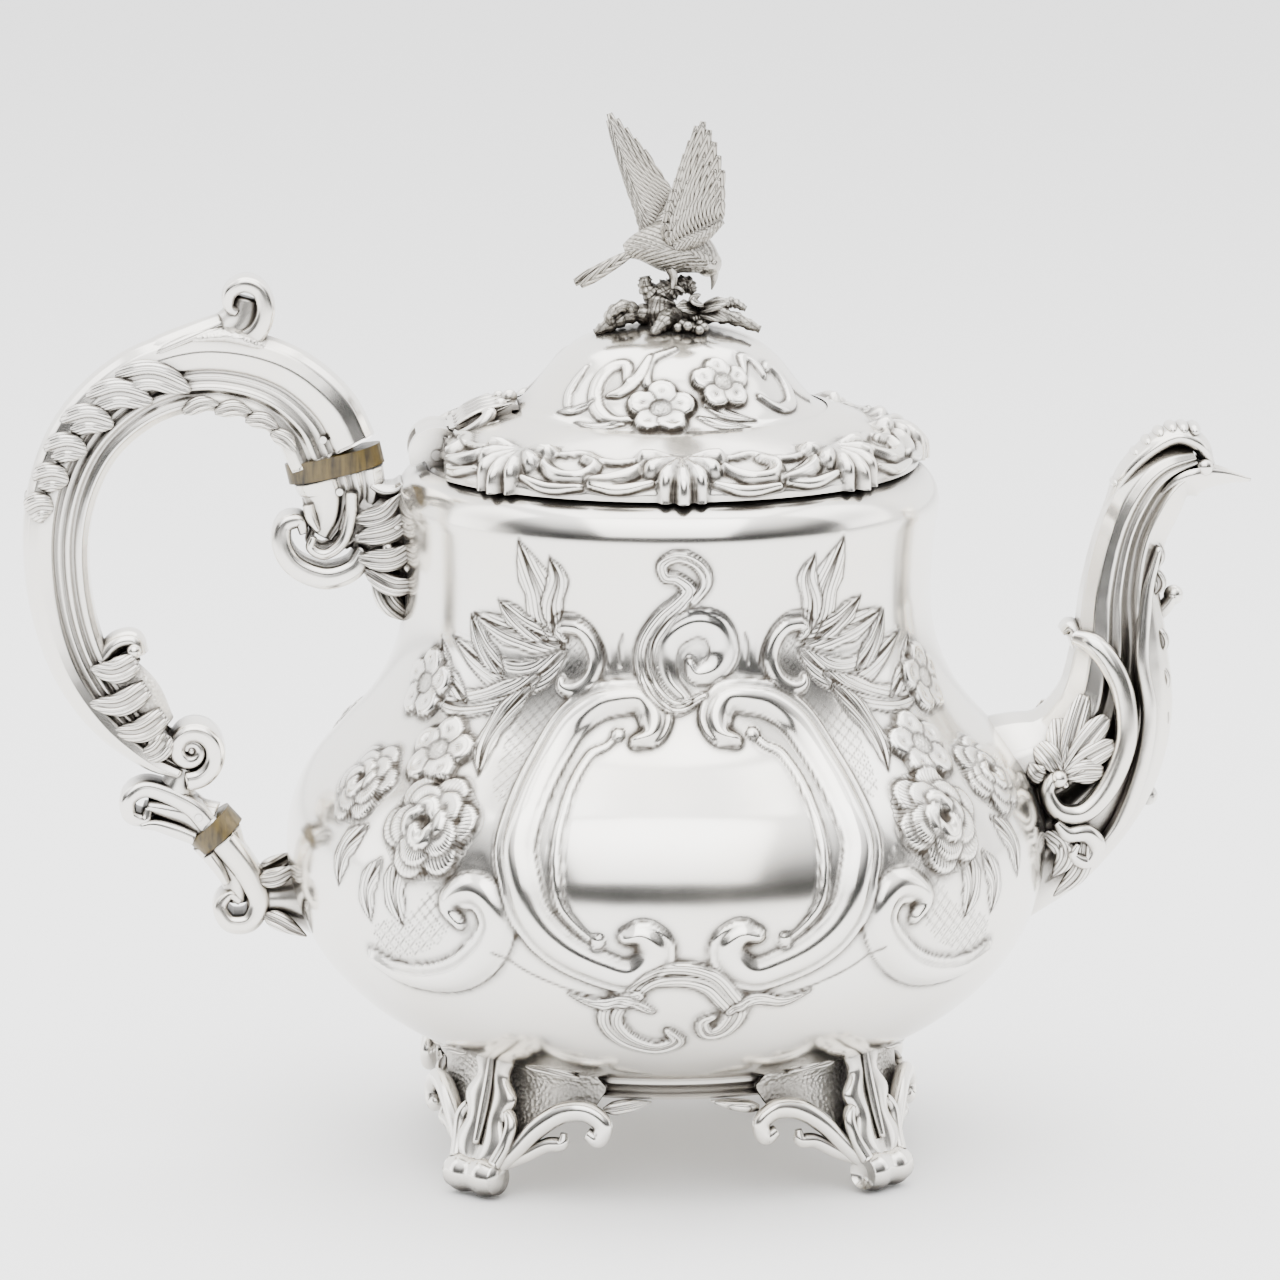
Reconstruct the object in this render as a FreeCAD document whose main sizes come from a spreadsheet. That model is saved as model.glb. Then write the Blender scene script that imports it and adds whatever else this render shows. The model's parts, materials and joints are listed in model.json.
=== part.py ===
import FreeCAD, Part
import math
import os
import Sketcher

# Victorian rococo silver teapot: chased pear body on four cast feet, cast spout and
# handle with bone insulators, hinged lid with a bird finial.
# The origin is on the body's axis, on the table plane. +X points to the spout, -X to
# the handle, -Y is the front and +Z is up. All sizes are in millimetres.

doc = FreeCAD.newDocument("teapot")
V = FreeCAD.Vector
UP = V(0, 0, 1)

SIZES = {
    # raised silver body
    "wall": 1.0,
    "base_radius": 43.0,
    "base_height": 25.0,
    "base_heading": 10.6,
    "bowl_arc": 56.5,
    "bowl_turn": 36.4,
    "belly_arc": 42.5,
    "belly_turn": 43.0,
    "upper_arc": 31.0,
    "upper_turn": 42.6,
    "slope_length": 11.6,
    "waist_arc": 40.0,
    "waist_turn": 42.6,
    "neck_arc": 111.5,
    "neck_turn": 10.0,
    "shoulder_arc": 8.3,
    "shoulder_turn": 84.0,
    "mouth_radius": 49.2,
    "mouth_height": 156.5,
    # mouth reinforcing ring
    "rim_outer": 54.0,
    "rim_inner": 48.2,
    "rim_depth": 6.6,
    "rim_thick": 1.0,
    # reeded ring that joins body and feet
    "ring_outer": 51.5,
    "ring_inner": 43.0,
    "ring_bottom": 22.4,
    "ring_tall": 4.4,
    # cast feet
    "foot_reach": 65.5,
    "toe_radius": 4.6,
    "toe_width": 13.0,
    "pad_length": 9.0,
    "pad_depth": 6.0,
    "pad_thick": 1.2,
    # lid
    "lid_gap": 0.3,
    "border_outer": 56.0,
    "border_inner": 36.0,
    "border_crown": 169.6,
    "border_thick": 2.2,
    "flange_outer": 47.0,
    "flange_thick": 0.9,
    "flange_depth": 6.0,
    "dome_crown": 187.8,
    "dome_wall": 1.0,
    "steam_hole": 1.2,
    "stud_radius": 1.6,
    "washer_radius": 5.0,
    "nut_radius": 4.0,
    "nut_thick": 3.2,
    # hinge
    "hinge_x": -51.8,
    "hinge_z": 160.0,
    "pin_radius": 0.85,
    "pin_clearance": 0.05,
    "knuckle_radius": 2.9,
    "knuckle_half": 4.0,
    "knuckle_gap": 0.15,
    "hinge_half": 8.2,
    "hood_radius": 6.2,
    "hood_gap": 0.4,
    # handle and insulators
    "handle_depth": 11.6,
    "volute_radius": 9.4,
    "insulator_thick": 4.6,
    "socket_depth": 12.0,
    "rivet_radius": 0.8,
    # spout
    "spout_wall": 1.6,
    "strainer_hole": 1.6,
}

sheet = doc.addObject("Spreadsheet::Sheet", "sizes")
for row, (alias, value) in enumerate(SIZES.items(), start=1):
    sheet.set("A%d" % row, alias)
    sheet.set("B%d" % row, str(value))
    sheet.setAlias("B%d" % row, alias)
doc.recompute()


def size(alias):
    """Read one driving dimension from the sheet."""
    return float(sheet.get(alias))


OVAL_POINTS = 8
PARTS = []


def keep(obj, label):
    """Name a finished sub-part, which gives its file its name."""
    obj.Label = label
    PARTS.append(obj)
    return obj


def feature(label, shape, turn=0.0):
    """Keep a free-form sub-part, turned about the Z axis by `turn` degrees."""
    obj = doc.addObject("Part::Feature", label)
    obj.Shape = shape
    obj.Placement = FreeCAD.Placement(V(0, 0, 0), FreeCAD.Rotation(UP, turn))
    return keep(obj, label)


def bind(obj, **expressions):
    """Bind properties of an object to cells of the sheet."""
    for name, text in expressions.items():
        obj.setExpression(name, text)


def plane(body, role):
    return next(f for f in body.Origin.OriginFeatures if f.Role == role)


def body_with_outline(label, points, role="XZ_Plane"):
    """Start a body with a closed sketch of straight lines.

    Each point is a pair of expressions in the sheet's aliases, and each is fixed by
    its two distances from the origin.
    """
    body = doc.addObject("PartDesign::Body", label)
    sketch = body.newObject("Sketcher::SketchObject", label + "_outline")
    sketch.AttachmentSupport = [(plane(body, role), "")]
    sketch.MapMode = "FlatFace"
    places = [V(evaluate(u), evaluate(v), 0) for u, v in points]
    count = len(places)
    for i in range(count):
        sketch.addGeometry(Part.LineSegment(places[i], places[(i + 1) % count]))
    for i in range(count):
        sketch.addConstraint(Sketcher.Constraint("Coincident", i, 2, (i + 1) % count, 1))
    for i, (u, v) in enumerate(points):
        for axis, text, value in (("X", u, places[i].x), ("Y", v, places[i].y)):
            fix_distance(sketch, i, axis, text, value)
    return body, sketch


def fix_distance(sketch, index, axis, text, value):
    """Fix one coordinate of a line's start point to an expression."""
    if value < 0:
        number = sketch.addConstraint(
            Sketcher.Constraint("Distance" + axis, index, 1, -1, 1, -value))
        text = "-(%s)" % text
    else:
        number = sketch.addConstraint(
            Sketcher.Constraint("Distance" + axis, -1, 1, index, 1, value))
    sketch.setExpression("Constraints[%d]" % number, text)


def evaluate(text):
    """Value of an expression in the sheet's aliases, in millimetres."""
    value = sheet.evalExpression(text.replace("sizes.", ""))
    return float(getattr(value, "Value", value))


def turned(label, points):
    """A sub-part turned about the Z axis from its half section."""
    body, sketch = body_with_outline(label, points)
    turn = body.newObject("PartDesign::Revolution", label + "_turn")
    turn.Profile = sketch
    turn.ReferenceAxis = (sketch, ["V_Axis"])
    turn.Angle = 360
    doc.recompute()
    return keep(body, label)


def spline(points):
    """One smooth edge through a few points."""
    curve = Part.BSplineCurve()
    curve.interpolate(points)
    return curve.toShape()


def ring_point(radius, angle, height):
    return V(radius * math.cos(angle), radius * math.sin(angle), height)


def oval(centre, along, wide, half_wide, half_deep):
    """Closed elliptic wire whose plane is square to `along`.

    `wide` is the direction of the first half width; the second is square to both.
    """
    normal = V(along).normalize()
    first = V(wide).normalize()
    second = normal.cross(first)
    ring = []
    for k in range(OVAL_POINTS):
        angle = 2 * math.pi * k / OVAL_POINTS
        across = first * (half_wide * math.cos(angle))
        ring.append(centre + across + second * (half_deep * math.sin(angle)))
    curve = Part.BSplineCurve()
    curve.interpolate(Points=ring, PeriodicFlag=True)
    return Part.Wire(curve.toShape())


def loft(wires):
    """Solid through closed wires, straight between one and the next."""
    return Part.makeLoft(wires, True, True)


def box_between(low, high):
    return Part.makeBox(high.x - low.x, high.y - low.y, high.z - low.z, low)


def rod(start, end, radius):
    """Solid cylinder from one point to another."""
    return Part.makeCylinder(radius, (end - start).Length, start, end - start)


# ---------------------------------------------------------------- body

class Outline:
    """Half section drawn as a chain of tangent arcs and lines in the XZ plane.

    The pen starts at a point with a heading, in degrees from +X. `inset` moves the
    whole chain to the left of its heading, which is towards the axis.
    """

    def __init__(self, x, z, heading, inset=0.0):
        self.heading = math.radians(heading)
        self.inset = inset
        self.pen = V(x, 0, z) + self.left() * inset
        self.edges = []

    def left(self):
        return V(-math.sin(self.heading), 0, math.cos(self.heading))

    def arc(self, radius, turn):
        """Turn by `turn` degrees, to the left where it is positive."""
        side = math.copysign(1.0, turn)
        own_radius = radius - side * self.inset
        centre = self.pen + self.left() * (side * own_radius)
        stops = []
        for part in (0.5, 1.0):
            angle = self.heading + math.radians(turn) * part
            stops.append(centre + V(math.sin(angle), 0, -math.cos(angle)) * (side * own_radius))
        self.edges.append(Part.Arc(self.pen, stops[0], stops[1]).toShape())
        self.heading += math.radians(turn)
        self.pen = stops[1]

    def line(self, length):
        end = self.pen + V(math.cos(self.heading), 0, math.sin(self.heading)) * length
        self.edges.append(Part.LineSegment(self.pen, end).toShape())
        self.pen = end

    def line_to(self, x, z):
        end = V(x, 0, z)
        self.edges.append(Part.LineSegment(self.pen, end).toShape())
        self.pen = end


def body_outline(inset):
    """The raised body from its floor to the turned-in shoulder."""
    pen = Outline(size("base_radius"), size("base_height"), size("base_heading"), inset)
    pen.arc(size("bowl_arc"), size("bowl_turn"))
    pen.arc(size("belly_arc"), size("belly_turn"))
    pen.arc(size("upper_arc"), size("upper_turn"))
    pen.line(size("slope_length"))
    pen.arc(size("waist_arc"), -size("waist_turn"))
    pen.arc(size("neck_arc"), -size("neck_turn"))
    pen.arc(size("shoulder_arc"), size("shoulder_turn"))
    pen.line_to(size("rim_outer") - size("wall"), size("mouth_height") - inset)
    return pen


def polyline(points):
    return [Part.LineSegment(a, b).toShape() for a, b in zip(points, points[1:])]


def turned_face(edges):
    """Turn a closed half section about the Z axis, with the seam at the back."""
    section = Part.Face(Part.Wire(Part.__sortEdges__(edges)))
    section.rotate(V(0, 0, 0), UP, 90)
    return section.revolve(V(0, 0, 0), UP, 360)


def body_outer_solid():
    """The body's outside as one solid, which the castings are cut against."""
    pen = body_outline(0.0)
    start = V(size("base_radius"), 0, size("base_height"))
    ends = [pen.pen, V(0, 0, pen.pen.z), V(0, 0, start.z), start]
    return turned_face(pen.edges + polyline(ends))


BODY_OUTER = body_outer_solid()


def strainer_holes():
    """Hexagonal field of pouring holes where the spout covers the body."""
    pitch = 4.6
    holes = []
    for row in range(-3, 4):
        count = 7 - abs(row)
        for k in range(count):
            y = (k - (count - 1) / 2.0) * pitch
            z = 78.0 + row * pitch * math.sqrt(3) / 2
            holes.append(rod(V(70, y, z), V(90, y, z), size("strainer_hole")))
    return holes


def make_body():
    wall = size("wall")
    outer, inner = body_outline(0.0), body_outline(wall)
    inner_start = inner.edges[0].Vertexes[0].Point
    outer_start = V(size("base_radius"), 0, size("base_height"))
    mouth = size("mouth_radius")
    lip = [outer.pen, V(mouth, 0, outer.pen.z), V(mouth, 0, inner.pen.z), inner.pen]
    floor = [inner_start, V(0, 0, inner_start.z), V(0, 0, outer_start.z), outer_start]
    shell = turned_face(outer.edges + inner.edges + polyline(lip) + polyline(floor))
    return feature("body_shell", shell.cut(strainer_holes()))


make_body()

turned("foot_ring", [
    ("sizes.ring_inner", "sizes.ring_bottom"),
    ("sizes.ring_outer - 1", "sizes.ring_bottom"),
    ("sizes.ring_outer", "sizes.ring_bottom + sizes.ring_tall * 0.17"),
    ("sizes.ring_outer - 0.7", "sizes.ring_bottom + sizes.ring_tall * 0.33"),
    ("sizes.ring_outer", "sizes.ring_bottom + sizes.ring_tall * 0.5"),
    ("sizes.ring_outer - 0.7", "sizes.ring_bottom + sizes.ring_tall * 0.67"),
    ("sizes.ring_outer", "sizes.ring_bottom + sizes.ring_tall * 0.83"),
    ("sizes.ring_outer", "sizes.ring_bottom + sizes.ring_tall"),
    ("sizes.ring_inner", "sizes.base_height - 0.2"),
])


# ---------------------------------------------------------------- feet

def foot_section(height, reach_in, reach_out, half_angle):
    """Flat wire between two arcs about the Z axis, at one height of a foot."""
    half = math.radians(half_angle)
    outer = [ring_point(reach_out, a, height) for a in (-half, 0, half)]
    inner = [ring_point(reach_in, a, height) for a in (half, 0, -half)]
    return Part.Wire([
        Part.Arc(*outer).toShape(),
        Part.LineSegment(outer[2], inner[0]).toShape(),
        Part.Arc(*inner).toShape(),
        Part.LineSegment(inner[2], outer[0]).toShape(),
    ])


def foot_shape():
    """One foot along +X: a flaring web, a rib down its corner and a rolled toe."""
    ring = size("ring_outer")
    reach = size("foot_reach")
    toe = size("toe_radius")
    sections = [
        foot_section(32.0, ring + 4.4, ring + 6.4, 16),
        foot_section(27.0, ring + 0.2, ring + 3.8, 25),
        foot_section(20.0, ring + 1.2, ring + 4.4, 25),
        foot_section(13.0, ring + 3.6, ring + 7.2, 15),
        foot_section(toe, reach - 4.6, reach - 0.6, 6),
    ]
    web = loft(sections)
    half = size("toe_width") / 2
    rolled = rod(V(reach - 1, -half, toe + 0.2), V(reach - 1, half, toe + 0.2), toe)
    long, deep = size("pad_length"), size("pad_depth")
    pad = Part.makeBox(deep, long, size("pad_thick"), V(reach - 1 - deep / 2, -long / 2, 0))
    foot = web.fuse([rolled, pad])
    return foot.cut(BODY_OUTER)


FOOT = foot_shape().cut(next(p for p in PARTS if p.Label == "foot_ring").Shape)
for name, azimuth in (("front_left", 225), ("front_right", 315), ("back_right", 45), ("back_left", 135)):
    feature("foot_" + name, FOOT, azimuth)


# ---------------------------------------------------------------- spout

SPOUT_STATIONS = (
    # centre x and z, direction x and z, half height, half depth
    (78.5, 75.5, 1.0, 0.00, 25.5, 15.5),
    (95.4, 86.8, 0.78, 0.62, 17.2, 13.5),
    (101.8, 104.5, 0.45, 0.89, 13.0, 11.2),
    (102.2, 119.0, 0.05, 1.00, 10.2, 9.6),
    (102.9, 131.0, 0.08, 0.99, 8.4, 8.2),
    (106.2, 142.0, 0.34, 0.94, 8.1, 7.6),
    (112.0, 151.0, 0.62, 0.78, 8.4, 7.2),
)


def spout_loft(shrink, stations):
    wires = []
    for x, z, dx, dz, half_tall, half_deep in stations:
        along = V(dx, 0, dz)
        wide = V(-dz, 0, dx)
        wires.append(oval(V(x, 0, z), along, wide, half_tall - shrink, half_deep - shrink))
    return loft(wires)


def make_spout():
    wall = size("spout_wall")
    outer = spout_loft(0.0, SPOUT_STATIONS)
    x, z, dx, dz, tall, deep = SPOUT_STATIONS[-1]
    lip_tip = (130.4, 151.2, 0.93, 0.36, 1.9, 2.4)
    lip = spout_loft(0.0, (SPOUT_STATIONS[-1], (121.0, 152.2, 0.8, 0.6, 5.4, 5.4), lip_tip))
    leaf = outline_slab([(101.5, 149.0), (105.5, 156.0), (111.0, 161.0), (117.0, 163.0), (120.5, 159.5),
                         (117.5, 157.0), (110.0, 153.0)], 8.0)
    bore_end = (x + 9.0 * dx, z + 9.0 * dz, dx, dz, tall - 0.6, deep - 0.4)
    bore = spout_loft(wall, SPOUT_STATIONS + (bore_end,))
    trough = spout_loft(wall, (SPOUT_STATIONS[-1], (123.0, 156.4, 0.85, 0.5, 5.6, 5.2),
                               (134.0, 158.5, 1.0, 0.1, 5.0, 4.0)))
    solid = outer.fuse([lip, leaf]).cut([bore, trough]).cut(BODY_OUTER)
    return feature("spout", biggest(solid))


def outline_slab(points, deep, middle=0.0):
    """Closed smooth outline in the XZ plane, given a depth about y = `middle`."""
    curve = Part.BSplineCurve()
    curve.interpolate(Points=[V(x, middle - deep / 2, z) for x, z in points], PeriodicFlag=True)
    return Part.Face(Part.Wire(curve.toShape())).extrude(V(0, deep, 0))


def biggest(shape):
    return max(shape.Solids, key=lambda solid: solid.Volume)


make_spout()


# ---------------------------------------------------------------- handle and insulators

HANDLE_STATIONS = (
    # centre x and z, direction x and z, half width in the plane of the C
    (-74.8, 159.6, -0.22, 0.97, 10.4),
    (-78.6, 167.4, -0.52, 0.85, 10.2),
    (-86.0, 174.2, -0.80, 0.60, 9.8),
    (-95.6, 177.8, -0.98, 0.20, 9.6),
    (-106.5, 178.2, -0.97, -0.22, 9.3),
    (-118.0, 174.2, -0.85, -0.53, 9.0),
    (-128.0, 165.6, -0.62, -0.78, 8.5),
    (-134.0, 154.4, -0.36, -0.93, 8.0),
    (-136.6, 141.0, -0.05, -1.00, 7.5),
    (-135.6, 126.0, 0.17, -0.98, 7.2),
    (-131.6, 112.4, 0.38, -0.92, 7.3),
    (-124.4, 101.0, 0.60, -0.80, 7.4),
    (-115.0, 93.6, 0.85, -0.53, 7.0),
)
VOLUTE = V(-107.0, 0, 93.8)
UPPER_BAND = (V(-74.4, 0, 157.1), V(0.222, 0, -0.975))
LOWER_BAND = (V(-102.0, 0, 73.7), V(0.669, 0, -0.743))


def handle_wires():
    deep = size("handle_depth") / 2
    return [oval(V(x, 0, z), V(dx, 0, dz), V(-dz, 0, dx), half, deep)
            for x, z, dx, dz, half in HANDLE_STATIONS]


def band_solid(centre, along, wide, deep, thick):
    """Oval disc centred on a point and square to `along`."""
    start = centre - along * (thick / 2)
    section = Part.Face(oval(start, along, V(-along.z, 0, along.x), wide, deep))
    return section.extrude(V(along) * thick)


def half_space(centre, along, reach=40.0):
    """Big box on the far side of the plane through `centre`, along `along`."""
    block = Part.makeBox(2 * reach, 2 * reach, reach, V(-reach, -reach, 0))
    block.Placement = FreeCAD.Placement(centre, FreeCAD.Rotation(UP, along))
    return block


def make_handle():
    thick = size("insulator_thick")
    deep = size("handle_depth")
    grip = loft(handle_wires())
    volute = Part.makeCylinder(size("volute_radius"), deep + 2, VOLUTE - V(0, deep / 2 + 1, 0), V(0, 1, 0))
    thumb = outline_slab([(-107.0, 185.0), (-97.5, 187.5), (-97.5, 195.0), (-92.0, 199.0), (-87.4, 193.5),
                          (-89.5, 183.0)], 9.0)
    centre, along = UPPER_BAND
    below = half_space(centre - along * (thick / 2), along)
    solid = grip.fuse([volute, thumb]).cut(below)
    return solid


def make_tail():
    """Small scroll between the big volute and the lower insulator."""
    thick = size("insulator_thick")
    deep = size("handle_depth")
    centre, along = LOWER_BAND
    neck = loft([
        oval(V(-110.5, 0, 82.0), V(0.5, 0, -0.87), V(0.87, 0, 0.5), 5.4, deep / 2 - 0.6),
        oval(centre - along * (thick / 2), along, V(-along.z, 0, along.x), 6.0, deep / 2),
    ])
    curl = Part.makeCylinder(4.6, deep - 1, V(-119.0, -(deep - 1) / 2, 78.8), V(0, 1, 0))
    arm = outline_slab([(-119.0, 82.6), (-112.0, 85.0), (-106.0, 84.0), (-105.0, 78.0), (-110.0, 73.4),
                        (-119.0, 74.6)], deep - 1)
    return neck.fuse([curl, arm])


def make_upper_socket():
    thick = size("insulator_thick")
    deep = size("socket_depth")
    centre, along = UPPER_BAND
    cheek = outline_slab([(-83.4, 153.0), (-86.6, 146.0), (-87.6, 139.4), (-83.6, 132.2), (-76.6, 130.8),
                          (-72.0, 134.6), (-67.6, 137.8), (-62.0, 131.0), (-56.0, 122.0), (-54.0, 136.0),
                          (-54.0, 150.0), (-59.0, 154.6), (-62.6, 154.0), (-63.6, 157.0), (-73.0, 157.0)],
                         deep)
    above = half_space(centre + along * (thick / 2), V(along) * -1)
    hinge = rod(V(size("hinge_x"), -30, size("hinge_z")), V(size("hinge_x"), 30, size("hinge_z")),
                size("hood_radius") + 0.6)
    return cheek.cut([above, BODY_OUTER, hinge])


def make_lower_socket():
    thick = size("insulator_thick")
    deep = size("socket_depth")
    centre, along = LOWER_BAND
    top = centre + along * (thick / 2)
    arm = loft([
        oval(top, along, V(-along.z, 0, along.x), 6.2, deep / 2),
        oval(V(-97.2, 0, 66.4), V(0.35, 0, -0.94), V(0.94, 0, 0.35), 6.0, deep / 2),
        oval(V(-95.0, 0, 61.0), V(0.55, 0, -0.83), V(0.83, 0, 0.55), 7.6, deep / 2),
    ])
    scroll = Part.makeCylinder(6.8, deep, V(-96.8, -deep / 2, 57.8), V(0, 1, 0))
    saddle = loft([
        oval(V(-96.0, 0, 58.5), V(1, 0, 0), V(0, 0, 1), 6.0, deep / 2),
        oval(V(-87.0, 0, 57.8), V(1, 0, 0), V(0, 0, 1), 7.4, deep / 2),
        oval(V(-79.0, 0, 57.6), V(1, 0, 0), V(0, 0, 1), 9.2, 8.6),
    ])
    return arm.fuse([scroll, saddle]).cut(BODY_OUTER)


def make_insulator(label, band, wide):
    """Oval bone washer with a tenon on each face, pinned into both castings."""
    centre, along = band
    thick = size("insulator_thick")
    disc = band_solid(centre, along, wide, size("handle_depth") / 2 + 0.2, thick)
    tenon = band_solid(centre, along, wide * 0.45, 3.2, thick + 12.0)
    return feature(label, disc.fuse(tenon).removeSplitter()), tenon


UPPER_INSULATOR, UPPER_TENON = make_insulator("upper_insulator", UPPER_BAND, 10.9)
LOWER_INSULATOR, LOWER_TENON = make_insulator("lower_insulator", LOWER_BAND, 6.2)

handle_shape = make_handle()
tail_shape = make_tail().cut([handle_shape])
for label, shape, tenon in (
        ("handle", handle_shape, UPPER_TENON),
        ("handle_tail", tail_shape, LOWER_TENON),
        ("upper_socket", make_upper_socket(), UPPER_TENON),
        ("lower_socket", make_lower_socket(), LOWER_TENON)):
    feature(label, shape.cut(tenon))


def drill(labels, x, z):
    """Hole for a cross pin through the named pieces."""
    for piece in PARTS:
        if piece.Label in labels:
            hole = rod(V(x, -20, z), V(x, 20, z), size("rivet_radius"))
            piece.Shape = piece.Shape.cut(hole)


for label, x, z, holders in (
        ("upper_handle_pin", -77.0, 163.2, ("handle", "upper_insulator")),
        ("upper_socket_pin", -73.4, 151.4, ("upper_socket", "upper_insulator")),
        ("lower_handle_pin", -105.6, 77.6, ("handle_tail", "lower_insulator")),
        ("lower_socket_pin", -98.6, 69.6, ("lower_socket", "lower_insulator"))):
    drill(holders, x, z)
    pin = doc.addObject("Part::Cylinder", label)
    bind(pin, Radius="sizes.rivet_radius", Height="sizes.handle_depth - 0.4")
    doc.recompute()
    pin.Placement = FreeCAD.Placement(V(x, pin.Height.Value / 2, z), FreeCAD.Rotation(V(1, 0, 0), 90))
    keep(pin, label)


# ---------------------------------------------------------------- hinge

HINGE = V(size("hinge_x"), 0, size("hinge_z"))


def barrel(low, high, radius):
    return rod(HINGE + V(0, low, 0), HINGE + V(0, high, 0), radius)


def hinge_wedge(low, high, first, last):
    """Wedge about the hinge's axis between two angles, in degrees from +X."""
    reach = 3.0 * size("hood_radius")
    steps = [first + (last - first) * k / 4 for k in range(5)]
    corners = [V(HINGE.x, low, HINGE.z)]
    for degrees in steps:
        angle = math.radians(degrees)
        corners.append(V(HINGE.x + reach * math.cos(angle), low, HINGE.z + reach * math.sin(angle)))
    return Part.Face(Part.Wire(polyline(corners + corners[:1]))).extrude(V(0, high - low, 0))


def make_hinge_plate():
    """Two hooded outer knuckles whose arms stand on the shoulder, joined by a strip."""
    half, reach = size("knuckle_half") + size("knuckle_gap"), size("hinge_half")
    floor = size("mouth_height")
    x, z = size("hinge_x"), size("hinge_z")
    pieces = [box_between(V(x + 3.2, -reach, floor), V(x + 4.4, reach, floor + 2.1))]
    for side in (-1, 1):
        low, high = sorted((side * half, side * reach))
        pieces.append(barrel(low, high, size("knuckle_radius")))
        pieces.append(barrel(low, high, size("hood_radius")).common(hinge_wedge(low, high, 22, 205)))
        pieces.append(box_between(V(x - 1.5, low, floor), V(x + 1.5, high, z)))
        pieces.append(box_between(V(x - 1.5, low, floor), V(x + 4.4, high, floor + 2.1)))
    solid = pieces[0].fuse(pieces[1:]).cut(barrel(-20, 20, size("pin_radius")))
    return solid.cut(BODY_OUTER).removeSplitter()


def rim_relief():
    """Room in the mouth ring for the barrel of the hinge."""
    reach = size("hinge_half")
    return barrel(-reach, reach, size("knuckle_radius") + 0.3)


def make_hinge():
    plate = make_hinge_plate()
    feature("hinge_plate", plate)
    reach = size("hinge_half")
    pin = barrel(-reach - 0.1, reach + 0.1, size("pin_radius"))
    heads = [barrel(-reach - 0.7, -reach, 1.15), barrel(reach, reach + 0.7, 1.15)]
    feature("hinge_pin", pin.fuse(heads))
    return plate


def make_hinge_leaf():
    """The lid's half of the hinge: a hooded centre knuckle and a leaf to the dome."""
    half, reach = size("knuckle_half"), size("hinge_half")
    clear = size("hood_radius") + size("hood_gap")
    hood = barrel(-half, half, size("hood_radius")).common(hinge_wedge(-half, half, -4, 136))
    knuckle = barrel(-half, half, size("knuckle_radius"))
    leaf = outline_slab([(-50.5, 165.6), (-44.0, 167.8), (-38.0, 170.2), (-33.6, 171.0), (-34.8, 167.6),
                         (-40.0, 164.6), (-46.0, 160.6), (-48.2, 161.0)], 2 * reach)
    gap = half + size("knuckle_gap")
    leaf = leaf.cut([barrel(-reach, -gap + 0.15, clear), barrel(gap - 0.15, reach, clear)])
    solid = hood.fuse([knuckle, leaf])
    return solid.cut(barrel(-20, 20, size("pin_radius") + size("pin_clearance")))


HINGE_PLATE = make_hinge()


def make_mouth_rim():
    """Ring with a collar down inside the mouth, cut away where the hinge stands."""
    floor, thick = size("mouth_height"), size("rim_thick")
    inner, mouth, outer = size("rim_inner"), size("mouth_radius"), size("rim_outer")
    top, low = floor + thick, floor + thick - size("rim_depth")
    corners = [V(inner, 0, low), V(mouth, 0, low), V(mouth, 0, floor), V(outer, 0, floor),
               V(outer - 0.6, 0, top), V(inner, 0, top), V(inner, 0, low)]
    return turned_face(polyline(corners)).cut([rim_relief(), HINGE_PLATE])


feature("mouth_rim", make_mouth_rim())


# ---------------------------------------------------------------- lid

LID_FLOOR = size("mouth_height") + size("rim_thick") + size("lid_gap")
NOTCH = -43.4
DOME_SEAT = 168.6
DOME_FLANK = ((32.6, 170.4), (28.9, 174.4), (24.5, 179.8), (18.2, 184.6))


def dome_points(wall=0.0):
    """Half section of the dome from its seat to its crown, moved in by `wall`."""
    slant = 0.7 * wall
    seat = V(size("border_inner") - wall, 0, DOME_SEAT)
    flank = [V(x - slant, 0, z - slant) for x, z in DOME_FLANK]
    return [seat] + flank + [V(9.0, 0, 187.2 - wall), V(0, 0, size("dome_crown") - wall)]


def make_dome():
    """Raised dome on a short upright collar, pierced for the stud and the steam."""
    wall = size("dome_wall")
    outer, inner = dome_points(), dome_points(wall)
    foot = [V(point.x, 0, DOME_SEAT - 2.6) for point in (inner[0], outer[0])]
    section = [spline(outer), spline(inner)]
    section += polyline([outer[-1], inner[-1]]) + polyline([inner[0]] + foot + [outer[0]])
    stud_hole = Part.makeCylinder(size("stud_radius"), 40, V(0, 0, 160))
    steam_hole = Part.makeCylinder(size("steam_hole"), 40, V(14.0, 0, 160))
    return turned_face(section).cut([stud_hole, steam_hole])


def dome_solid():
    """Everything under the dome's outside, so that castings sit on it."""
    outer = dome_points()
    return turned_face([spline(outer)] + polyline([outer[-1], V(0, 0, 160), V(outer[0].x, 0, 160), outer[0]]))


def make_border():
    low, thick = LID_FLOOR, size("border_thick")
    outer = [V(55.2, 0, low), V(size("border_outer"), 0, low + 2.0), V(54.2, 0, 161.6), V(49.0, 0, 164.6),
             V(43.6, 0, 167.2), V(39.0, 0, 169.2), V(size("border_inner"), 0, size("border_crown"))]
    inner = [V(size("border_inner"), 0, 166.4), V(43.0, 0, 166.4 - thick),
             V(size("flange_outer"), 0, low + 1.6), V(size("flange_outer"), 0, low)]
    border = turned_face(polyline(outer + inner + [outer[0]]))
    return border.cut(hinge_relief())


def hinge_relief():
    """Space at the back of the lid where the border and flange stop short of the hinge."""
    reach = size("hinge_half") + 0.4
    behind = box_between(V(-70, -40, 140), V(HINGE.x + 1.4, 40, 175))
    notch = box_between(V(-70, -reach, 140), V(NOTCH, reach, 175))
    return [behind, notch, HINGE_LEAF]


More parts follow.
